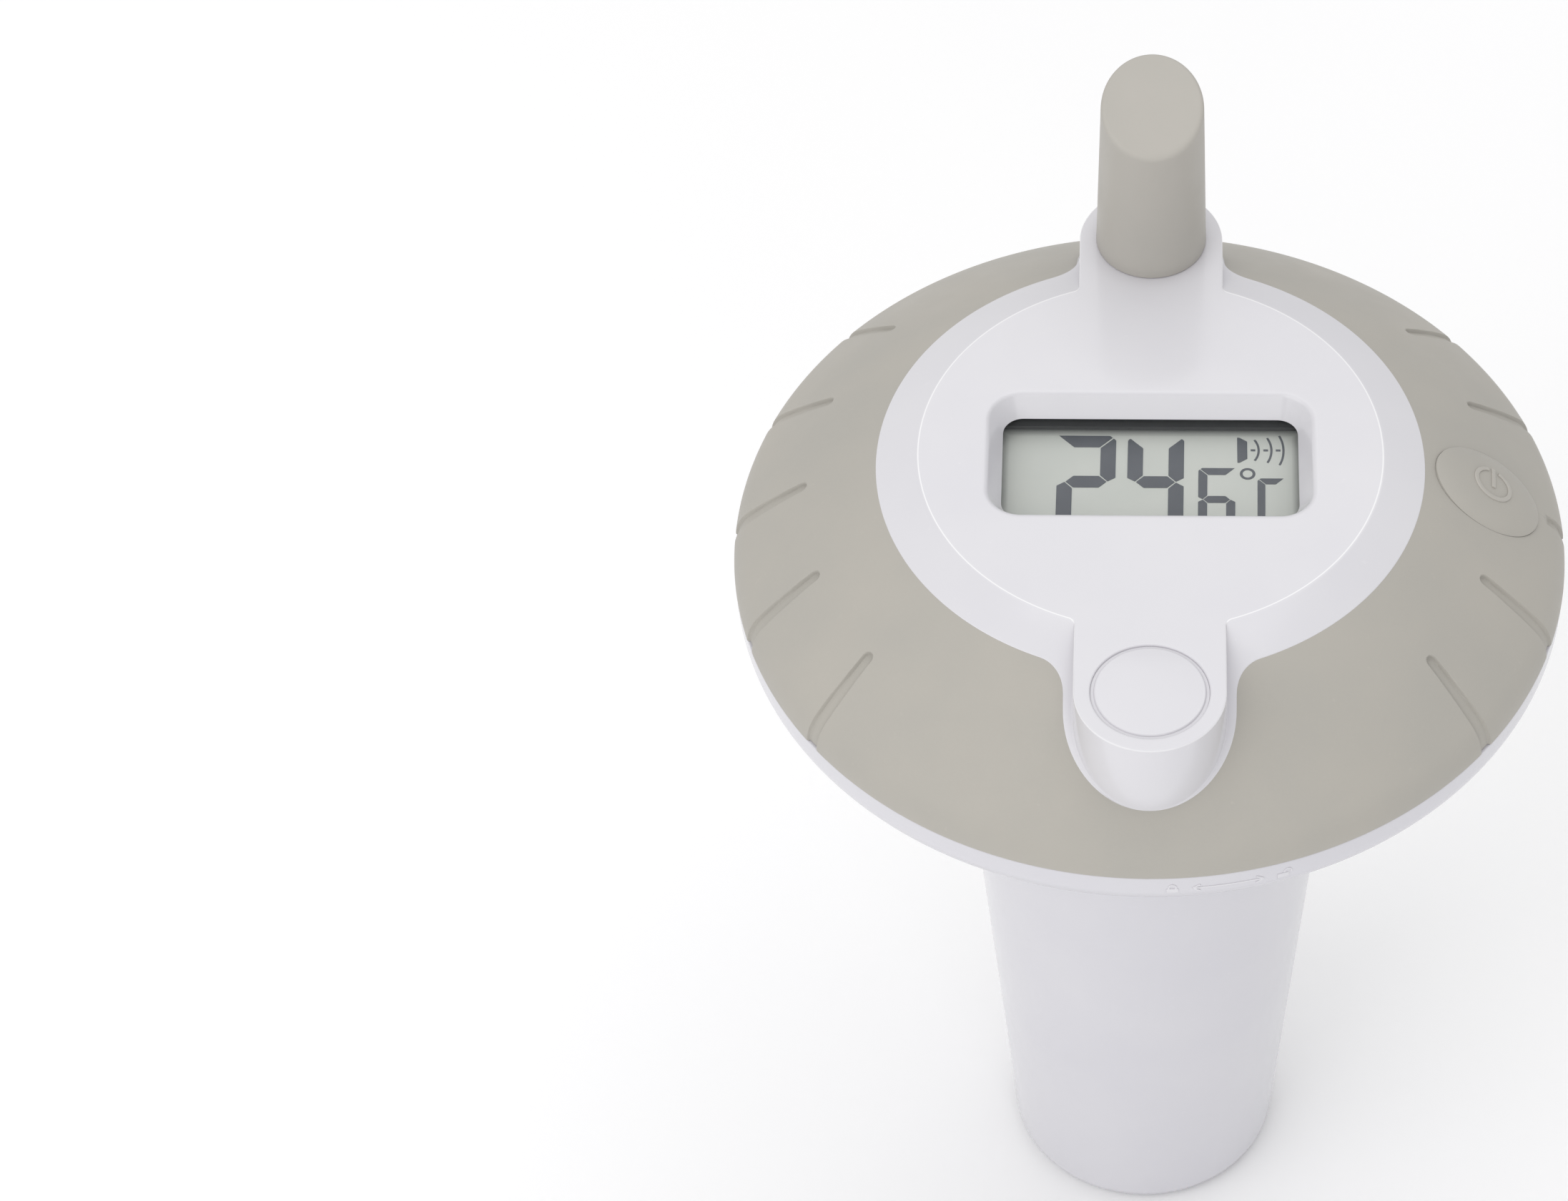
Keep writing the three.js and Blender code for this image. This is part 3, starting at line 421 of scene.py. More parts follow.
# ---- head shell: plate, arms and the white part of the dome ----
def shell_rings():
    """Rings from just inside the plate's edge, down the arm walls, out to the skin's edge."""
    plate, normal = plate_outline()
    white, _ = key_outline(WHITE_RADIUS, LOBE_HALF_WIDTH, LOBE_FRONT, ANTENNA_Y, LOBE_FILLET)
    rear, _ = key_outline(
        WHITE_RADIUS, REAR_LOBE_HALF_WIDTH, LOBE_FRONT, ANTENNA_Y, REAR_LOBE_FILLET)
    white = np.where(white[:, 1:] > 0, rear, white)
    past_lobe = np.minimum(white[:, 1] - LOBE_FRONT, 0)
    white[:, 1] -= past_lobe * (1 - LOBE_REACH / LOBE_HALF_WIDTH)
    # the further a wall leans out, the lower its foot, so the foot is found in a few rounds
    foot = plate.copy()
    for _ in range(4):
        drop = np.maximum(PLATE_Z - dome_z(np.hypot(foot[:, 0], foot[:, 1])), 0)
        foot = plate + normal * (ARM_SLOPE * drop)[:, None]
    reach = np.hypot(*(white - foot).T)

    def path(at):
        """at: one distance for each outline point, from the plate's edge outwards."""
        share = np.clip(np.where(drop > 1e-6, at / np.maximum(drop, 1e-6), 1), 0, 1)[:, None]
        flat = plate + normal * np.minimum(at, 0)[:, None]
        wall = flat + (foot - plate) * share
        over = np.maximum(at - drop, 0)
        out = np.minimum(over / reach, 1)[:, None]
        plan = wall + (white - foot) * out * (over > 0)[:, None]
        z = PLATE_Z - np.clip(at, 0, drop)
        surface = on_dome(plan, PROUD)[:, 2]
        z = np.where(over > 0, np.minimum(surface, PLATE_Z), z)
        past = np.maximum(over - reach, 0)
        return np.column_stack([plan, z - past])

    count = 8
    band = 0.6  # close rings start and end this far from an edge
    seam_band = 0.2
    half = (np.minimum(drop, 2 * band) + 2 * band) / 2
    rings = [path(np.full(len(plate), inset)) for inset in (-1.6, -1.1)]
    for j in range(count + 1):
        rings.append(softened(path, -band + half * j / count, SHELL_EDGE))
    for j in range(1, count + 1):
        rings.append(softened(path, drop + band - half * (count - j) / count, SHELL_EDGE))
    for share in (0.2, 0.4, 0.6, 0.8):
        rings.append(path(drop + band + (reach - band - seam_band) * share))
    for shift in (-0.14, -0.1, -0.05, 0, 0.05, 0.1, 0.14):
        rings.append(softened(path, drop + reach + shift, 0.1))
    rings.append(path(drop + reach + SKIN_SUNK))
    return rings, white


def head_shell():
    build = Builder()
    rings, white = shell_rings()
    plate_edge, skin_edge = build.rings(rings)

    back = PANE_LAP / 2 + 0.3
    window_path, starts = polyline([
        (WINDOW_BEVEL + 1.6, 0), (WINDOW_BEVEL, 0), (0, -WINDOW_DEPTH), (back, -WINDOW_DEPTH),
        (back, CEILING_Z - PLATE_Z),
    ])
    bevel_band, lip_band = 0.6, 0.16
    at = [0, bevel_band]
    at += [starts[1] + s for s in np.linspace(-bevel_band, bevel_band, 11)]
    at += [starts[2] - 1.6]
    at += [starts[2] + s for s in np.linspace(-lip_band, lip_band, 7)]
    section = [softened(window_path, a, 0.5 if a < starts[1] + 1 else lip_band / 2) for a in at]
    section += [window_path(starts[3]), window_path(starts[4])]
    window_edge, window_back = build.rings([window_ring(g, PLATE_Z + z) for g, z in section])

    recess = rounded_profile(
        [(RECESS_RADIUS + 0.7, 0), (RECESS_RADIUS, 0), (RECESS_RADIUS, -RECESS_DEPTH), (0, -RECESS_DEPTH)],
        [0, 0.28, 0.1, 0])
    badge_rings = [circle_ring(max(r, 0.01), BADGE_Y, PLATE_Z + z) for r, z in recess]
    badge_edge, badge_floor = build.rings(badge_rings)
    build.fan(badge_floor, (0, BADGE_Y, PLATE_Z - RECESS_DEPTH))
    build.fill(plate_edge, [window_edge, badge_edge])

    # the face under the skin, then the inner wall back to the window
    angle = np.arctan2(white[:, 1], white[:, 0])
    way = np.column_stack([np.cos(angle), np.sin(angle)])
    white_r = np.hypot(white[:, 0], white[:, 1])
    outer_r = EDGE_CENTRE + EDGE_ROUND - SKIN_SUNK
    sunk = []
    for share in (0.25, 0.5, 0.75, 0.9, 1):
        r = white_r + (outer_r - white_r) * share
        z = np.maximum(dome_z(r, SKIN_SUNK), PARTING_Z)
        sunk.append(np.column_stack([way * r[:, None], z]))
    inner_r = outer_r - SHELL_WALL
    for r in (inner_r, inner_r - 0.5, inner_r - 1.5, 54, 50, 45, 40, 35, 30.5):
        z = np.full(len(way), max(float(dome_z(r, SKIN_SUNK + SHELL_WALL)), PARTING_Z))
        if r == inner_r:
            z = np.full(len(way), PARTING_Z)
        sunk.append(np.column_stack([way * r, np.minimum(z, CEILING_Z)]))
    sunk[-1][:, 2] = CEILING_Z
    _, ceiling = build.rings(sunk, skin_edge)
    build.fill(ceiling, [window_back])
    shell = build.piece("shell_visual", 50)
    cut_away(shell, oval_prism(STEM_HOLE, STEM_HOLE, -8, 1))
    paint_edge_highlight(shell.data)
    return shell


def paint_edge_highlight(mesh):
    """Stores a painted highlight along the plate's edge, by how close each point is to it."""
    plate, normal = plate_outline()
    line = mesh.attributes.new(EDGE_HIGHLIGHT, "FLOAT", "POINT")
    for vertex in mesh.vertices:
        x, y, z = vertex.co / MM
        if z < PLATE_Z - 0.5 or math.hypot(x, y) < PLATE_RADIUS - 1:
            continue
        away = np.array([x, y]) - plate
        near = int(np.argmin((away**2).sum(1)))
        gap = math.hypot(float(away[near] @ normal[near]), 0.6 * (PLATE_Z - z))
        if (away[near] ** 2).sum() < 1.2:
            line.data[vertex.index].value = EDGE_HIGHLIGHT_STRENGTH * math.exp(-((gap / EDGE_HIGHLIGHT_WIDTH) ** 2))


# ---- grey grip skin ----
def groove_lines():
    """Angle in degrees and starting distance from the axis of each finger groove."""
    lines = []
    for side in (0, 180):
        for step in (-2, -1, 0, 1, 2):
            beside_button = side == 0 and step == 0
            start = BUTTON_R + BUTTON_LONG - 0.6 if beside_button else GROOVE_START
            turn = GROOVE_SHIFT + step * GROOVE_PITCH
            lines.append((side - turn if side else turn, start))
    return lines


def skin_angles():
    """One step a degree, with close steps across each groove."""
    near, clear = 1.8, 1.9
    degrees = list(range(360))
    for line, _ in groove_lines():
        degrees = [d for d in degrees if abs((d - line + 180) % 360 - 180) > clear]
        degrees += [(line + s) % 360 for s in np.linspace(-near, near, 37)]
    return np.radians(np.array(sorted(degrees)))


def groove_sink(plan):
    """How deep the finger grooves cut at each point."""
    deepest = np.zeros(len(plan))
    for line, start in groove_lines():
        angle = math.radians(line)
        along = plan @ np.array([math.cos(angle), math.sin(angle)])
        across = plan @ np.array([-math.sin(angle), math.cos(angle)])
        away = np.hypot(across, np.maximum(start + 0.8 - along, 0))
        away = np.where(along > 0, away, 9)
        run = np.clip((along - start) / (HEAD_RADIUS - start), 0, 1)
        half = GROOVE_HALF_WIDTH + GROOVE_FLARE * run
        share = np.clip((half - away) / GROOVE_FLANK, 0, 1)
        depth = GROOVE_DEPTH * (1.25 - 0.3 * run)
        deepest = np.maximum(deepest, depth * share * share * (3 - 2 * share))
    return deepest


def skin_section(sunk):
    """Points and outward normals of the skin's outline from the inner edge to the rim."""
    radii = list(np.arange(39.9, 50.2, 0.9))
    radii += list(np.arange(50.3, 53.2, 0.12))
    radii += list(np.arange(53.8, 60.2, 0.8))
    section = []
    for r in radii:
        slope = math.asin((r - DOME_CENTRE_R) / DOME_RADIUS)
        section.append((math.sin(slope), math.cos(slope), DOME_CENTRE_R, DOME_CENTRE_Z, DOME_RADIUS))
    for angle in np.radians(np.linspace(45, 0, 16)):
        section.append((math.cos(angle), math.sin(angle), EDGE_CENTRE, PARTING_Z, EDGE_ROUND))
    points = []
    for nr, nz, cr, cz, radius in section:
        reach = radius - sunk
        points.append((cr + reach * nr, cz + reach * nz, nr, nz))
    return points


def grip_skin():
    build = Builder()
    theta = skin_angles()
    way = np.column_stack([np.cos(theta), np.sin(theta)])
    rings = []
    outer = skin_section(0)
    for r, z, nr, nz in outer:
        sink = groove_sink(way * r)
        plan = way * (r - sink * nr)[:, None]
        rings.append(np.column_stack([plan, z - sink * nz]))
    last_sink = groove_sink(way * HEAD_RADIUS)
    low_round = 0.16
    rings[-1][:, 2] += low_round
    for angle in np.radians(np.linspace(15, 90, 6)):
        r = HEAD_RADIUS - low_round * (1 - math.cos(angle)) - last_sink
        z = PARTING_Z + low_round * (1 - math.sin(angle))
        rings.append(level(way * r[:, None], z))
    rings += [level(way * r, z) for r, z, _, _ in skin_section(SKIN_THICK)[::-4]]
    first, last = build.rings(rings)
    build.bridge(last, first)
    skin = build.piece("grip_skin_visual")
    cut_away(skin, oval_prism(BUTTON_LONG + BUTTON_GAP, BUTTON_SHORT + BUTTON_GAP))
    return skin


# ---- power button ----
BUTTON_TILT = math.asin((BUTTON_R - DOME_CENTRE_R) / DOME_RADIUS)
BUTTON_Z = float(dome_z(BUTTON_R))
BUTTON_FRAME = Matrix.Translation((BUTTON_R, 0, BUTTON_Z)) @ Matrix.Rotation(BUTTON_TILT, 4, "Y")


def at_button(points):
    return [tuple(BUTTON_FRAME @ Vector(p)) for p in points]


def oval(scale_x, scale_y, z, steps=144):
    return level(circle(steps) * np.array([scale_x, scale_y]), z)


def oval_prism(half_x, half_y, low=-4, high=4):
    """A closed oval block along the button's axis."""
    build = Builder()
    rings = [at_button(oval(half_x, half_y, z)) for z in (low, high)]
    first, last = build.rings(rings)
    build.fan(first, at_button([(0, 0, low)])[0])
    build.fan(last, at_button([(0, 0, high)])[0])
    return build.mesh("button_opening")


def button_height(share):
    """Height of the button's face; share is 0 at its middle and 1 at its edge."""
    crown = BUTTON_CROWN * (1 - min(share, 1) ** 2.3) ** 0.9
    return crown - BUTTON_EDGE_DROP * share**6


def power_button():
    build = Builder()
    rings = []
    for z in (SKIRT_LOW, SKIRT_TOP):
        rings.append(at_button(oval(BUTTON_LONG, BUTTON_SHORT, z)))
    for share in (1, 0.995, 0.985, 0.97, 0.95, 0.92, 0.88, 0.83, 0.77, 0.7, 0.6, 0.5, 0.4, 0.3, 0.2, 0.1):
        rings.append(at_button(oval(BUTTON_LONG * share, BUTTON_SHORT * share, button_height(share))))
    first, last = build.rings(rings)
    build.fan(last, at_button([(0, 0, BUTTON_CROWN)])[0])
    stem = [at_button(oval(STEM_RADIUS, STEM_RADIUS, z)) for z in (SKIRT_LOW, STEM_LOW)]
    _, stem_end = build.rings(stem, first)
    build.fan(stem_end, at_button([(0, 0, STEM_LOW)])[0])
    return build.piece("power_button_visual")


# ---- raised and printed marks ----
def resample(points, spacing):
    points = np.array(points, float)
    lengths = np.hypot(*np.diff(points, axis=0).T)
    starts = np.concatenate([[0], np.cumsum(lengths)])
    count = max(int(starts[-1] / spacing), 1)
    at = np.linspace(0, starts[-1], count + 1)
    return np.column_stack([np.interp(at, starts, points[:, k]) for k in (0, 1)])


def stroke(build, points, width, height, surface, spacing=0.25, sink=0.3):
    """A raised line of even width that follows a surface given as (u, v) to point and normal."""
    points = resample(points, spacing)
    along = np.gradient(points, axis=0)
    along /= np.maximum(np.hypot(*along.T), 1e-9)[:, None]
    across = np.column_stack([-along[:, 1], along[:, 0]])
    section = [(-0.5, -sink), (-0.5, height * 0.6), (-0.36, height), (0.36, height), (0.5, height * 0.6),
               (0.5, -sink)]
    rings = []
    for p, side in zip(points, across):
        ring = []
        for share, lift in section:
            u, v = p + side * width * share
            place, normal = surface(u, v)
            ring.append(np.array(place) + np.array(normal) * lift)
        rings.append(ring)
    build.close(*build.rings(rings))


def arc_line(centre, radius_x, radius_y, start, stop, steps=48):
    angle = np.radians(np.linspace(start, stop, steps))
    return np.column_stack([centre[0] + radius_x * np.cos(angle), centre[1] + radius_y * np.sin(angle)])


ICON_X, ICON_Y = -0.16, 0.31
ICON_LEAN = 3.5  # degrees
ICON_HEIGHT = 0.22


def button_surface(u, v):
    share = math.hypot(u / BUTTON_LONG, v / BUTTON_SHORT)
    place = BUTTON_FRAME @ Vector((u, v, button_height(share)))
    return place, BUTTON_FRAME.to_3x3() @ Vector((0, 0, 1))


def power_icon():
    build = Builder()
    ring = arc_line((ICON_X, ICON_Y), 3.1, 2.7, 108 - ICON_LEAN, 432 - ICON_LEAN, 72)
    stroke(build, ring, 0.7, ICON_HEIGHT, button_surface)
    lean = math.radians(ICON_LEAN)
    bar = [(ICON_X + r * math.sin(lean), ICON_Y + r * math.cos(lean)) for r in (-0.8, 3.0)]
    stroke(build, bar, 0.68, ICON_HEIGHT, button_surface)
    return build.piece("power_icon")


MARK_BASE = 0.45  # middle of the rim marks, over the start of the rim's round
MARK_HEIGHT = 0.1
ARROW_WIDTH = 0.32
ARROW_TIP = 0.7  # half the width of an arrow's head


def rim_surface(u, v):
    """u runs round the rim from the front, v up its outline from the middle of the marks."""
    turn = -math.pi / 2 + u / RIM_RADIUS
    up = v + MARK_BASE
    slope = min(up, 0) / RIM_ROUND
    nr, nz = math.cos(slope), math.sin(slope)
    r = RIM_RADIUS - RIM_ROUND + RIM_ROUND * nr
    z = PARTING_Z - RIM_STRAIGHT + RIM_ROUND * nz + max(up, 0)
    place = (r * math.cos(turn), r * math.sin(turn), z)
    return place, (nr * math.cos(turn), nr * math.sin(turn), nz)


def padlock(build, u, shift):
    """A padlock seen from the front; its bow is moved aside by shift when open."""
    body = [(u - 0.85, -0.4), (u + 0.85, -0.4)]
    stroke(build, body, 1.0, MARK_HEIGHT, rim_surface, 0.2, 0.2)
    bow = arc_line((u + shift, 0.3), 0.52, 0.62, 0, 180, 24)
    legs = [(u + 0.52 + shift, 0)]
    tail = [(u - 0.52 + shift, 0.0 if shift == 0 else 0.25)]
    stroke(build, np.concatenate([legs, bow, tail]), 0.28, MARK_HEIGHT, rim_surface, 0.1, 0.2)


def rim_marks():
    """A closed padlock, an arrow each way and an open padlock, raised on the rim."""
    build = Builder()
    padlock(build, 3.4, 0)
    stroke(build, [(6.4, 0), (16.6, 0)], ARROW_WIDTH, MARK_HEIGHT, rim_surface, 0.4, 0.2)
    for back, tip in ((7.4, 6.3), (15.6, 16.7)):
        head = [(back, ARROW_TIP), (tip, 0), (back, -ARROW_TIP)]
        stroke(build, head, ARROW_WIDTH, MARK_HEIGHT, rim_surface, 0.2, 0.2)
    padlock(build, 19.6, 0.75)
    return build.piece("rim_marks")


INK_HEIGHT = 0.05
INK_SUNK = 0.01
# segments that are on, left, bottom, width, height, weight and gap of each numeral
NUMERALS = [
    ("abged", -14.0, -9.8, 8.7, 18.3, 2.3, 0.16),
    ("fgbc", -3.55, -9.8, 8.4, 18.3, 2.3, 0.16),
    ("afgedc", 7.0, -10.2, 5.5, 12.4, 1.35, 0.12),
    ("ald", 15.8, -9.9, 3.95, 10.1, 1.15, 0.1),
]


def lcd_surface(u, v):
    return (u, v, LCD_TOP), (0, 0, 1)


def bar_shape(build, corners):
    """A flat printed patch on the display, given by its corners in order."""
    low = build.add_ring([(x, y, LCD_TOP - INK_SUNK) for x, y in corners])
    high = build.add_ring([(x, y, LCD_TOP + INK_HEIGHT) for x, y in corners])
    build.bridge(low, high)
    build.close(low, high)


def digit(build, names, left, bottom, width, height, weight, gap):
    """Named segments of a seven-segment numeral, mitred where they meet; l is a whole left side."""
    w, h, t, g = width, height, weight, gap
    m = h / 2
    round_right = 0.4 * t if "b" in names else g
    round_left = 0.4 * t if "f" in names or "l" in names else g
    right, lean = (round_right - g) / 2, (round_left - g) / 2
    elbow = 0.36 * t
    middle_right = [(w, m + elbow), (w - t / 2, m + g / 2), (w - t, m + t / 2 + g)]
    middle_left = [(t, m + t / 2 + g), (t / 2, m + g / 2), (0, m + elbow)]
    shapes = {
        "a": [(round_left, h), (w - round_right, h), (w - g - right, h - right),
              (w - t - g, h - t), (t + g, h - t), (g + lean, h - lean)],
        "b": [(w, h - round_right), *middle_right, (w - t, h - t - g), (w - right, h - g - right)],
        "c": [(w, m - elbow), (w, g), (w - t, t + g), (w - t, m - t / 2 - g), (w - t / 2, m - g / 2)],
        "d": [(w - g, 0), (g, 0), (t + g, t), (w - t - g, t)],
        "e": [(0, g), (0, m - elbow), (t / 2, m - g / 2), (t, m - t / 2 - g), (t, t + g)],
        "f": [(lean, h - g - lean), (t, h - t - g), *middle_left, (0, h - round_left)],
        "g": [(t / 2 + g, m), (t + g, m + t / 2), (w - t - g, m + t / 2), (w - t / 2 - g, m),
              (w - t - g, m - t / 2), (t + g, m - t / 2)],
        "l": [(0, g), (0, h - round_left), (lean, h - g - lean), (t, h - t - g), (t, t + g)],
    }
    for name in names:
        bar_shape(build, [(left + x + 0.012 * y, bottom + y) for x, y in shapes[name]])


def ink_line(build, points, width, spacing):
    stroke(build, points, width, INK_HEIGHT, lcd_surface, spacing, INK_SUNK)


def transmit_icon(build, left, middle):
    """A small horn with three waves, dashes between them."""
    horn = [(0, 2.5), (0, -2.5), (0.35, -2.5), (1.5, -1.7), (1.5, 1.7), (0.35, 2.5)]
    bar_shape(build, [(left + x, middle + y) for x, y in horn])
    for place, tall in ((3.0, 2.05), (4.9, 2.45), (6.7, 2.9)):
        bow = arc_line((left + place - 3.2, middle), 3.4, tall * 1.75, -35, 35, 20)
        ink_line(build, bow, 0.34, 0.2)
    for place in (2.0, 3.9, 5.75):
        dash = [(left + place, middle), (left + place + 0.7, middle)]
        ink_line(build, dash, 0.4, 0.7)


def lcd_digits():
    build = Builder()
    for numeral in NUMERALS:
        digit(build, *numeral)
    ink_line(build, arc_line((14.45, 1.1), 0.95, 0.95, 0, 360, 40), 0.42, 0.2)
    transmit_icon(build, 12.95, 5.8)
    return build.piece("display_digits")


# ---- badge, antenna and float ----
def front_badge():
    radius = BADGE_HIGH[0]
    low, high = BADGE_LOW[2], BADGE_HIGH[2]
    flange, neck = radius + 0.33, radius - 0.18
    step = high - 0.34
    corners = [(0, low), (flange, low), (flange, step), (neck, step), (neck, high), (0, high)]
    profile = rounded_profile(corners, [0, 0.1, 0.02, 0.1, 0.24, 0])
    build = lathe(profile, 128, centre=(0, BADGE_Y))
    return build.piece("front_badge_visual")


def antenna_cover():
    """A tapered stub cut off on a slant, hollow for the coil."""
    steps = 128
    way = circle(steps)
    base_radius = ANTENNA_HIGH[0]
    tip_radius = base_radius - ANTENNA_TAPER
    rise = (ANTENNA_HIGH[2] - ANTENNA_MIDDLE_Z) / tip_radius
    slant = ANTENNA_MIDDLE_Z + rise * tip_radius * way[:, 1]
    base = PLATE_Z + SEAM_GAP

    def path(at):
        """Up the wall below zero, and inwards over the slanted end above zero."""
        inward = max(at, 0)
        r = np.full(steps, tip_radius - inward)
        z = ANTENNA_MIDDLE_Z + rise * r * way[:, 1] + min(at, 0)
        share = (slant - z) / (slant - base) if at < 0 else 0
        r = r + (base_radius - tip_radius) * share
        return np.column_stack([way * np.reshape(r, (-1, 1)), z])

    foot = [(COIL_BORE, 0), (base_radius - 0.25, 0), (base_radius - 0.07, 0.07), (base_radius, 0.25)]
    rings = [level(way * r, base + z) for r, z in foot]
    for share in np.linspace(0.1, 1, 10):
        wall = slant - 1.6
        z = base + (wall - base) * share
        r = base_radius - (base_radius - tip_radius) * (z - base) / (slant - base)
        rings.append(np.column_stack([way * r[:, None], z]))
    for at in np.linspace(-1.3, 1.3, 15):
        rings.append(softened(path, at, 0.75, 15))
    for at in (2, 3, 4.5, 6, 7.2):
        rings.append(path(at))
    place = np.array([0, ANTENNA_Y, 0])
    build = Builder()
    first, last = build.rings([ring + place for ring in rings])
    build.fan(last, (0, ANTENNA_Y, ANTENNA_MIDDLE_Z))
    _, bore = build.rings([level(COIL_BORE * way, COIL_BORE_TOP) + place], first)
    build.fan(bore, (0, ANTENNA_Y, COIL_BORE_TOP))
    return build.piece("antenna_visual")


def tube_radius(z):
    return TUBE_FOOT + TUBE_TAPER * z


def sector_prism(inner, outer, start, stop, low, high, steps=24):
    angle = np.linspace(start, stop, steps + 1)
    outline = [(outer * math.cos(a), outer * math.sin(a)) for a in angle]
    outline += [(inner * math.cos(a), inner * math.sin(a)) for a in angle[::-1]]
    build = Builder()
    build.close(*build.rings([[(x, y, z) for x, y in outline] for z in (low, high)]))
    return build.mesh("slot")


def float_body():
    rim_low = PARTING_Z - RIM_STRAIGHT - RIM_ROUND
    neck_round = 2.0
    neck_z = rim_low - neck_round
    bore_low = PARTING_Z - 26
    profile = rounded_profile(
        [(RIM_RADIUS - RIM_WALL, RIM_TOP - 1), (RIM_RADIUS - RIM_WALL, RIM_TOP),
         (RIM_RADIUS, RIM_TOP), (RIM_RADIUS, RIM_TOP - 1)], [0, 0.2, 0.2, 0])
    for angle in np.radians(np.linspace(0, -90, 18)):
        r = RIM_RADIUS - RIM_ROUND + RIM_ROUND * math.cos(angle)
        profile.append((r, PARTING_Z - RIM_STRAIGHT + RIM_ROUND * math.sin(angle)))
    for angle in np.radians(np.linspace(90, 180, 9)):
        r = tube_radius(neck_z) + neck_round + neck_round * math.cos(angle)
        profile.append((r, neck_z + neck_round * math.sin(angle)))
    for z in np.linspace(neck_z - 8, 8, 14):
        profile.append((tube_radius(z), z))
    foot = tube_radius(FOOT_ROUND) - FOOT_ROUND
    for angle in np.radians(np.linspace(0, -90, 12)):
        profile.append((foot + FOOT_ROUND * math.cos(angle), FOOT_ROUND + FOOT_ROUND * math.sin(angle)))
    profile += [
        (FOOT_RING, 0), (CAP_RECESS, 1), (SENSOR_HOLE, 1), (SENSOR_HOLE, FLOOR_TOP),
        (tube_radius(FLOOR_TOP) - TUBE_WALL, FLOOR_TOP),
        (tube_radius(bore_low - 6) - TUBE_WALL, bore_low - 6), (NECK_BORE, bore_low),
        (NECK_BORE, COLLAR_TOP), (COLLAR_RADIUS, COLLAR_TOP), (COLLAR_RADIUS, rim_low + RIM_WALL),
        (RIM_RADIUS - RIM_WALL - 1.5, rim_low + RIM_WALL),
        (RIM_RADIUS - RIM_WALL, rim_low + RIM_WALL + 1.5),
    ]
    build = lathe(profile, 192, closed=True)
    body = build.piece("float_visual")
    lug, twist, slack = np.radians((12, 40, 1))
    for i in range(3):
        near = math.pi / 2 + i * 2 * math.pi / 3 - lug / 2 - slack
        far = near + lug + twist + 2 * slack
        low, high = PARTING_Z - 1.3, PARTING_Z + 1.7
        inner, outer = NECK_BORE - 2, COLLAR_RADIUS + 2
        cut_away(body, sector_prism(inner, outer, near, far, low, high))
        entry = far - lug - 2 * slack
        cut_away(body, sector_prism(inner, outer, entry, far, low + 1, COLLAR_TOP + 1, 8))
    return body


# ---- materials ----
def linear(value):
    """A colour given as 8-bit sRGB, as Blender's linear colour."""
    shares = [v / 255 for v in value]
    return [s / 12.92 if s <= 0.04045 else ((s + 0.055) / 1.055) ** 2.4 for s in shares] + [1]


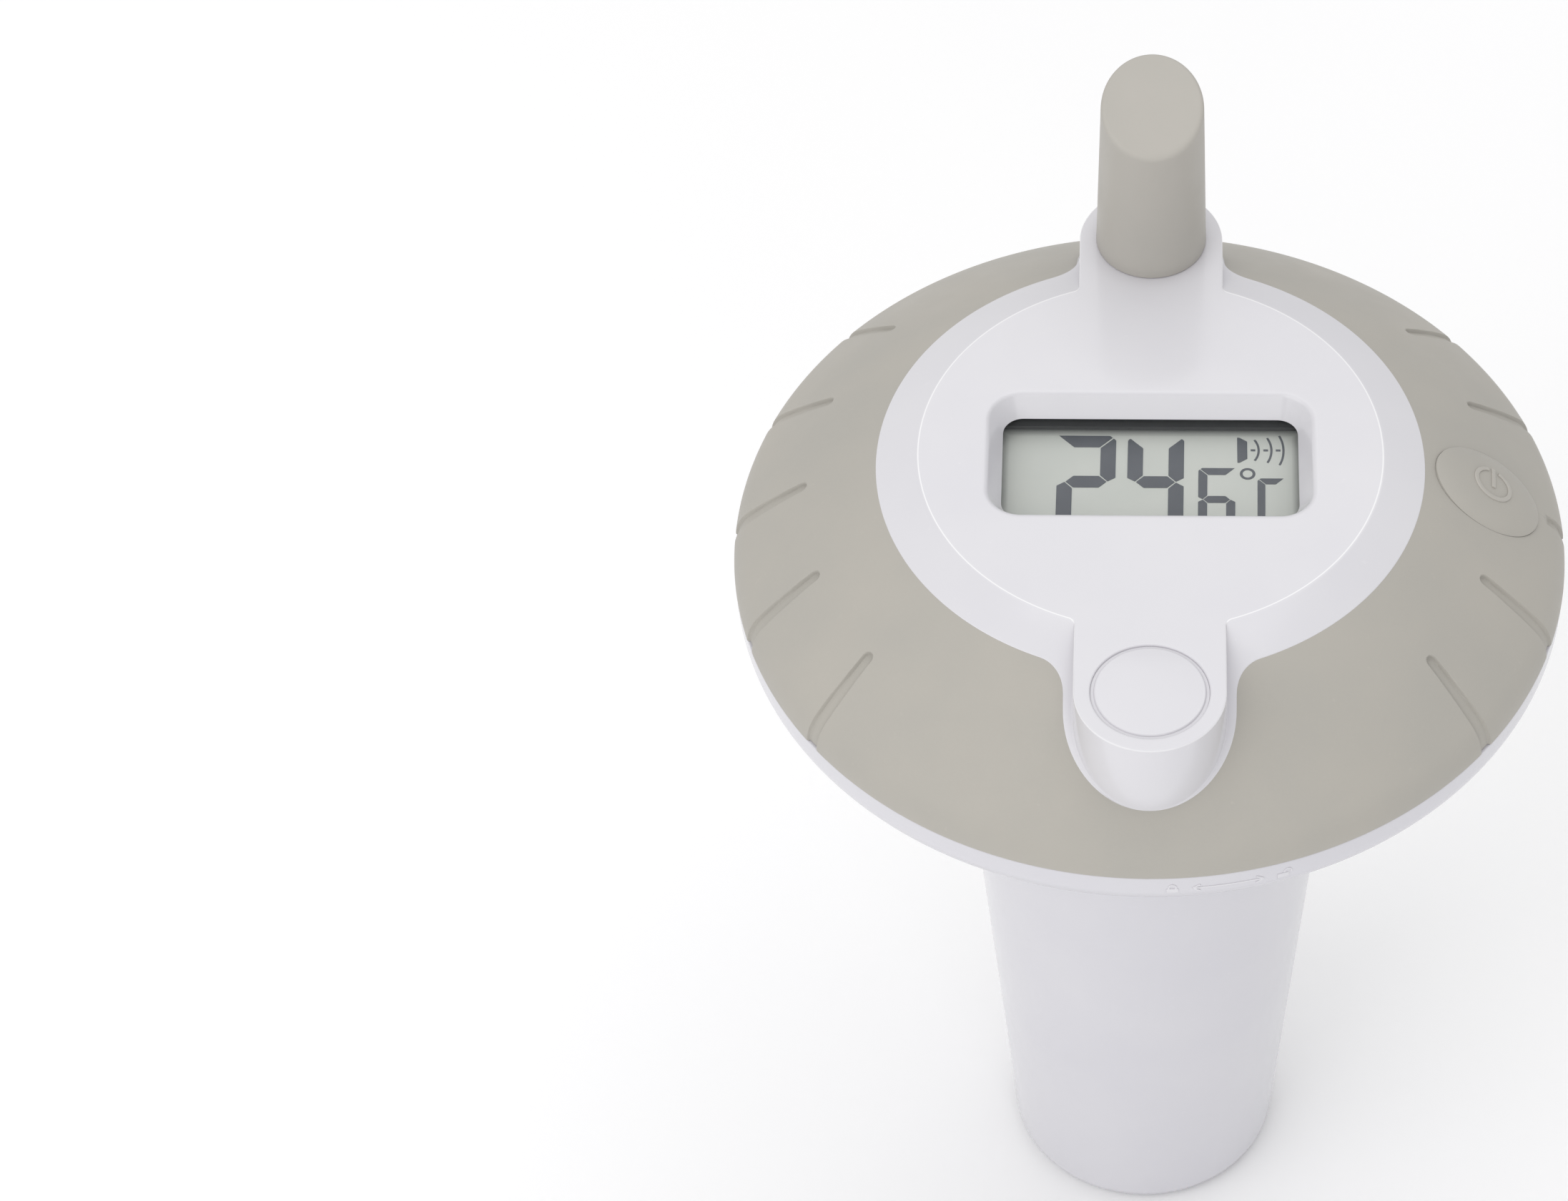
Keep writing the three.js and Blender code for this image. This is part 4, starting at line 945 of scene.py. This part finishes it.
class Finish:
    """A Principled material whose colour, roughness and relief come from procedural noise."""

    def __init__(self, name):
        self.material = bpy.data.materials.new(name)
        self.material.use_nodes = True
        self.nodes = self.material.node_tree.nodes
        self.links = self.material.node_tree.links
        self.shader = self.nodes["Principled BSDF"]
        self.where = self.nodes.new("ShaderNodeTexCoord").outputs["Object"]
        self.relief = None

    def noise(self, size, detail=3.0, rough=0.5, kind="ShaderNodeTexNoise"):
        """Noise with features of about the given size, in millimetres."""
        node = self.nodes.new(kind)
        node.inputs["Scale"].default_value = 1 / (size * MM)
        if kind == "ShaderNodeTexNoise":
            node.inputs["Detail"].default_value = detail
            node.inputs["Roughness"].default_value = rough
        self.links.new(self.where, node.inputs["Vector"])
        return node.outputs[0]

    def spread(self, source, low, high, start=0.3, stop=0.7):
        """Takes a source from start to stop over to low to high, held at both ends."""
        node = self.nodes.new("ShaderNodeMapRange")
        node.inputs["From Min"].default_value = start
        node.inputs["From Max"].default_value = stop
        node.inputs["To Min"].default_value = low
        node.inputs["To Max"].default_value = high
        self.links.new(source, node.inputs["Value"])
        return node.outputs["Result"]

    def axis(self, name):
        """One coordinate of the node's own frame, in metres."""
        node = self.nodes.new("ShaderNodeSeparateXYZ")
        self.links.new(self.where, node.inputs[0])
        return node.outputs[name]

    def larger(self, first, second):
        node = self.nodes.new("ShaderNodeMath")
        node.operation = "MAXIMUM"
        self.links.new(first, node.inputs[0])
        self.links.new(second, node.inputs[1])
        return node.outputs[0]

    def mix(self, share, first, second):
        node = self.nodes.new("ShaderNodeMix")
        node.data_type = "RGBA"
        self.links.new(share, node.inputs[0])
        for socket, value in ((node.inputs[6], first), (node.inputs[7], second)):
            if isinstance(value, list):
                socket.default_value = value
            else:
                self.links.new(value, socket)
        return node.outputs[2]

    def tone(self, size, tint, tint_other):
        """A slow drift between two 8-bit colours."""
        return self.mix(self.spread(self.noise(size), 0, 1), linear(tint), linear(tint_other))

    def base(self):
        """What feeds the colour so far."""
        return self.shader.inputs["Base Color"].links[0].from_socket

    def colour(self, source):
        self.links.new(source, self.shader.inputs["Base Color"])

    def roughness(self, source):
        self.links.new(source, self.shader.inputs["Roughness"])

    def bump(self, height, depth, strength=1.0):
        """Relief of the given depth in millimetres; each call adds to the last."""
        node = self.nodes.new("ShaderNodeBump")
        node.inputs["Distance"].default_value = depth * MM
        node.inputs["Strength"].default_value = strength
        self.links.new(height, node.inputs["Height"])
        if self.relief is not None:
            self.links.new(self.relief, node.inputs["Normal"])
        self.relief = node.outputs["Normal"]
        self.links.new(self.relief, self.shader.inputs["Normal"])

    def painted_recess_shade(self, reach):
        """Painted shade: 1 in corners and seams narrower than about the reach in millimetres, 0 in the open.
        """
        node = self.nodes.new("ShaderNodeAmbientOcclusion")
        node.samples = 6
        node.inputs["Distance"].default_value = reach * MM
        return self.spread(node.outputs["AO"], 1, 0, 0.35, 0.95)

    def painted_underside_shade(self, stop):
        """Painted shade: rises to 1 as the surface turns from upright to a downward slope of the given sine.
        """
        node = self.nodes.new("ShaderNodeNewGeometry")
        split = self.nodes.new("ShaderNodeSeparateXYZ")
        self.links.new(node.outputs["Normal"], split.inputs[0])
        return self.spread(split.outputs["Z"], 0, 1, -0.09, -stop)

    def edges(self, low=0.54, high=0.64):
        """1 on sharp outer edges, 0 elsewhere; the mask of a painted edge highlight."""
        node = self.nodes.new("ShaderNodeNewGeometry")
        return self.spread(node.outputs["Pointiness"], 0, 1, low, high)


def plastic(name, tint, tint_other, rough, rough_other, grain=0.4, grain_depth=0.01, blotch=14,
            scuffed=False):
    """Moulded plastic: slow colour drift, fine grain, patchy gloss, and lighter scuffs when scuffed, else a
    painted highlight on sharp edges.
    """
    f = Finish(name)
    base = f.tone(blotch, tint, tint_other)
    light = [min(v * 1.08, 1) for v in linear(tint)[:3]] + [1]
    # lighter scuffs when scuffed, else a painted highlight on sharp edges
    scuffs_and_edge_highlight = f.spread(f.noise(1.6, 5, 0.7), 0, 0.5, 0.64, 0.76) if scuffed else f.edges()
    f.colour(f.mix(scuffs_and_edge_highlight, base, light))
    f.roughness(f.spread(f.noise(blotch / 3), rough, rough_other))
    f.bump(f.noise(grain, 2), grain_depth)
    return f


def white_plastic(name, tint, tint_other):
    f = plastic(name, tint, tint_other, 0.16, 0.23, 0.5, 0.004, 22, True)
    # painted highlight: the plate's edge is mixed towards pure white by the stored edge attribute
    line = f.nodes.new("ShaderNodeAttribute")
    line.attribute_name = EDGE_HIGHLIGHT
    # painted shade: darker in corners, seams and recesses
    tone = f.mix(f.painted_recess_shade(3), f.base(), linear((206, 204, 209)))
    # painted shade: darker again on faces turned downwards
    tone = f.mix(f.painted_underside_shade(0.6), tone, linear((188, 187, 193)))
    f.colour(f.mix(line.outputs["Fac"], tone, [1, 1, 1, 1]))
    f.bump(f.noise(9, 1), 0.02)
    f.shader.inputs["Coat Weight"].default_value = 0.15
    f.shader.inputs["Coat Roughness"].default_value = 0.08
    return f.material


def grey_grip():
    f = plastic("grey_soft_touch", (178, 174, 166), (173, 170, 163), 0.55, 0.66, 0.22, 0.012, 18, True)
    # painted shade: darker in the grooves and seams
    f.colour(f.mix(f.painted_recess_shade(1.6), f.base(), linear((160, 157, 150))))
    f.bump(f.noise(0.7, 4), 0.012)
    f.shader.inputs["Specular IOR Level"].default_value = 0.35
    f.shader.inputs["Sheen Weight"].default_value = 0.08
    f.shader.inputs["Sheen Roughness"].default_value = 0.5
    return f.material


def grey_hard():
    return plastic("grey_hard_plastic", (181, 177, 170), (176, 173, 166), 0.45, 0.55, 0.3, 0.01, 18).material


def clear_window():
    f = Finish("clear_window")
    f.colour(f.tone(8, (236, 240, 242), (228, 233, 236)))
    f.roughness(f.spread(f.noise(5), 0.03, 0.07))
    f.bump(f.noise(12, 1), 0.006)
    f.shader.inputs["Alpha"].default_value = 0.03
    return f.material


# painted shadow: the display darkens past these distances from its middle, towards the edge of its frame
LCD_SHADE_X = 21.0
LCD_SHADE_Y = 8.4


def display_glass():
    f = Finish("display_glass")
    face = f.tone(12, (196, 199, 193), (190, 194, 188))
    # painted shadow of the frame on the display, darkest at the far edge and fainter at the sides
    far = f.spread(f.axis("Y"), 0, 1, LCD_SHADE_Y * MM, (LCD_SHADE_Y + 1.6) * MM)
    left = f.spread(f.axis("X"), 0, 0.6, -LCD_SHADE_X * MM, -(LCD_SHADE_X + 1.2) * MM)
    right = f.spread(f.axis("X"), 0, 0.6, LCD_SHADE_X * MM, (LCD_SHADE_X + 1.2) * MM)
    shade = f.larger(far, f.larger(left, right))
    f.colour(f.mix(shade, face, linear((74, 77, 76))))
    f.roughness(f.spread(f.noise(6), 0.4, 0.5))
    f.bump(f.noise(0.25, 2), 0.004)
    return f.material


def display_ink():
    f = Finish("display_ink")
    f.colour(f.tone(5, (72, 76, 84), (64, 68, 76)))
    f.roughness(f.spread(f.noise(3), 0.4, 0.5))
    f.bump(f.noise(0.2, 2), 0.003)
    return f.material


def metal(name, tint, tint_other, rough, rough_other, brushed=True):
    f = Finish(name)
    f.shader.inputs["Metallic"].default_value = 1.0
    f.colour(f.tone(4, tint, tint_other))
    f.roughness(f.spread(f.noise(1.5), rough, rough_other))
    f.bump(f.noise(0.12 if brushed else 0.6, 4), 0.004)
    return f.material


def circuit_board():
    f = plastic("circuit_board", (30, 104, 68), (24, 90, 58), 0.35, 0.5, 0.3, 0.02, 6)
    f.bump(f.noise(1.2, 0, kind="ShaderNodeTexVoronoi"), 0.03)
    return f.material


MATERIALS = {
    "white_plastic": white_plastic("white_gloss_plastic", (218, 217, 221), (215, 214, 219)),
    "grey_grip": grey_grip(),
    "clear_window": clear_window(),
    "display_glass": display_glass(),
    "black_plastic": plastic("black_plastic", (24, 25, 27), (18, 19, 21), 0.5, 0.65).material,
    "elastomer": plastic("elastomer", (140, 142, 147), (126, 128, 133), 0.7, 0.85).material,
    "circuit_board": circuit_board(),
    "bright_steel": metal("bright_steel", (200, 202, 205), (186, 188, 192), 0.2, 0.34),
    "dark_steel": metal("dark_steel", (122, 124, 127), (104, 106, 110), 0.38, 0.55, False),
    "brass": metal("brass", (204, 168, 80), (186, 150, 66), 0.25, 0.4),
    "black_rubber": plastic("black_rubber", (30, 30, 31), (24, 24, 25), 0.75, 0.9, 0.3, 0.02).material,
    "cell_wrap": plastic("cell_wrap", (64, 92, 122), (54, 80, 108), 0.28, 0.42, 0.6, 0.01).material,
}
INK = display_ink()
GREY_HARD = grey_hard()
# a darker copy of the white plastic for the float, painted shade under the head
SHADED_WHITE_FLOAT = white_plastic("white_float_plastic_painted_shade", (211, 210, 215), (208, 207, 213))

# ---- CAD nodes that keep their shape ----
NODE_SLOTS = {
    "white_plastic": ["head_floor", "sensor_stem"],
    "clear_window": ["display_window"],
    "display_glass": ["lcd_panel"],
    "black_plastic": ["lcd_frame", "controller_chip", "antenna_nut", "switch_plunger", "tact_switch",
                      "battery_holder", "thermistor_bead"],
    "elastomer": ["zebra_strip_front", "zebra_strip_rear"],
    "circuit_board": ["main_pcb", "rf_module", "switch_board"],
    "bright_steel": ["ballast_clip", "sensor_cap", "floor_screw", "crystal_can", "rf_shield", "pcb_screw",
                     "holder_screw", "positive_stud", "top_spring", "bridge_plate", "bridge_spring",
                     "sensor_sleeve"],
    "dark_steel": ["ballast_weight"],
    "brass": ["antenna_coil", "antenna_lead", "battery_lead"],
    "black_rubber": ["cap_gasket", "floor_gasket", "neck_seal", "antenna_seal", "sensor_lead",
                     "lead_grommet"],
    "cell_wrap": ["battery_1", "battery_2"],
}
for slot_name, stems in NODE_SLOTS.items():
    for node_name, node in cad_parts.items():
        if any(node_name.startswith(stem) for stem in stems):
            node.data.materials.clear()
            node.data.materials.append(MATERIALS[slot_name])

# ---- pieces ----
WHITE, GREY = MATERIALS["white_plastic"], MATERIALS["grey_grip"]
seat(head_shell(), "head", "white_plastic", WHITE, "head_shell")
seat(grip_skin(), "head", "grey_grip", GREY, "grip_skin")
seat(front_badge(), "head", "white_plastic", WHITE, "front_badge")
seat(antenna_cover(), "head", "grey_grip", GREY_HARD, "antenna_cover")
seat(lcd_digits(), "head", "display_glass", INK)
seat(power_button(), "power_button", "grey_grip", GREY, "power_button")
# the icon takes the lighter hard grey, a painted highlight on the raised icon
seat(power_icon(), "power_button", "grey_grip", GREY_HARD)
seat(float_body(), "float", "white_plastic", SHADED_WHITE_FLOAT, "float_body")
seat(rim_marks(), "float", "white_plastic", WHITE)


# ---- stage, light and camera ----
def stage_floor():
    build = Builder()
    step = 250.0
    ticks = np.arange(-16, 17) * step
    rows = [[(x, y, 0.0) for x in ticks] for y in ticks]
    ids = [build.add_ring(row) for row in rows]
    for low, high in zip(ids, ids[1:]):
        for i in range(len(low) - 1):
            build.faces.append((low[i], low[i + 1], high[i + 1], high[i]))
    floor = build.piece("stage_floor")
    f = Finish("stage_paper")
    f.colour(f.tone(300, (255, 255, 255), (253, 253, 254)))
    f.roughness(f.spread(f.noise(40), 0.8, 0.9))
    floor.data.materials.append(f.material)


def area_light(name, place, target, size, power, tint=(1, 1, 1)):
    data = bpy.data.lights.new(name, "AREA")
    data.shape = "RECTANGLE"
    data.size, data.size_y = size
    data.energy = power
    data.color = tint
    light = scene_object(name, data)
    light.location = place
    light.rotation_euler = (Vector(target) - Vector(place)).to_track_quat("-Z", "Y").to_euler()


def stage_light():
    world = bpy.data.worlds.new("studio")
    world.use_nodes = True
    ground = world.node_tree.nodes["Background"]
    ground.inputs["Color"].default_value = (1, 1, 1, 1)
    ground.inputs["Strength"].default_value = 0.67
    bpy.context.scene.world = world
    middle = (0, 0, 0.12)
    area_light("key", (-0.9, -0.75, 1.1), middle, (1.3, 1.3), 6.4, (1, 0.99, 0.98))
    area_light("front", (0.2, -1.5, 0.75), middle, (1.2, 0.7), 3.6)
    area_light("overhead", (0.1, 0.5, 1.5), middle, (1.3, 1.3), 5.8)


CAMERA_DISTANCE = 12 * HEAD_RADIUS
CAMERA_ELEVATION = 49.24
CAMERA_AIM = 49.85  # degrees below level; a little more than the elevation
CAMERA_YAW = -0.34
CAMERA_ROLL = 0.6
CAMERA_LENS = 114.2
CAMERA_SHIFT = -0.2328


def photo_camera():
    """A long lens from the front and above, with the object right of the middle."""
    data = bpy.data.cameras.new("camera")
    data.sensor_width = 36
    data.lens = CAMERA_LENS
    data.shift_x = CAMERA_SHIFT
    data.clip_start = 0.01
    camera = scene_object("camera", data)
    elevation, yaw, roll = np.radians((CAMERA_ELEVATION, CAMERA_YAW, CAMERA_ROLL))
    centre = Vector((0, 0, PARTING_Z * MM))
    flat = math.cos(elevation)
    back = Vector((flat * math.sin(yaw), -flat * math.cos(yaw), math.sin(elevation)))
    camera.location = centre + back * CAMERA_DISTANCE * MM
    aim = math.radians(90 - CAMERA_AIM)
    turn = Matrix.Rotation(yaw, 3, "Z") @ Matrix.Rotation(aim, 3, "X") @ Matrix.Rotation(roll, 3, "Z")
    camera.rotation_euler = turn.to_euler()
    bpy.context.scene.camera = camera


stage_floor()
stage_light()
photo_camera()
bpy.context.scene.view_settings.view_transform = "Standard"
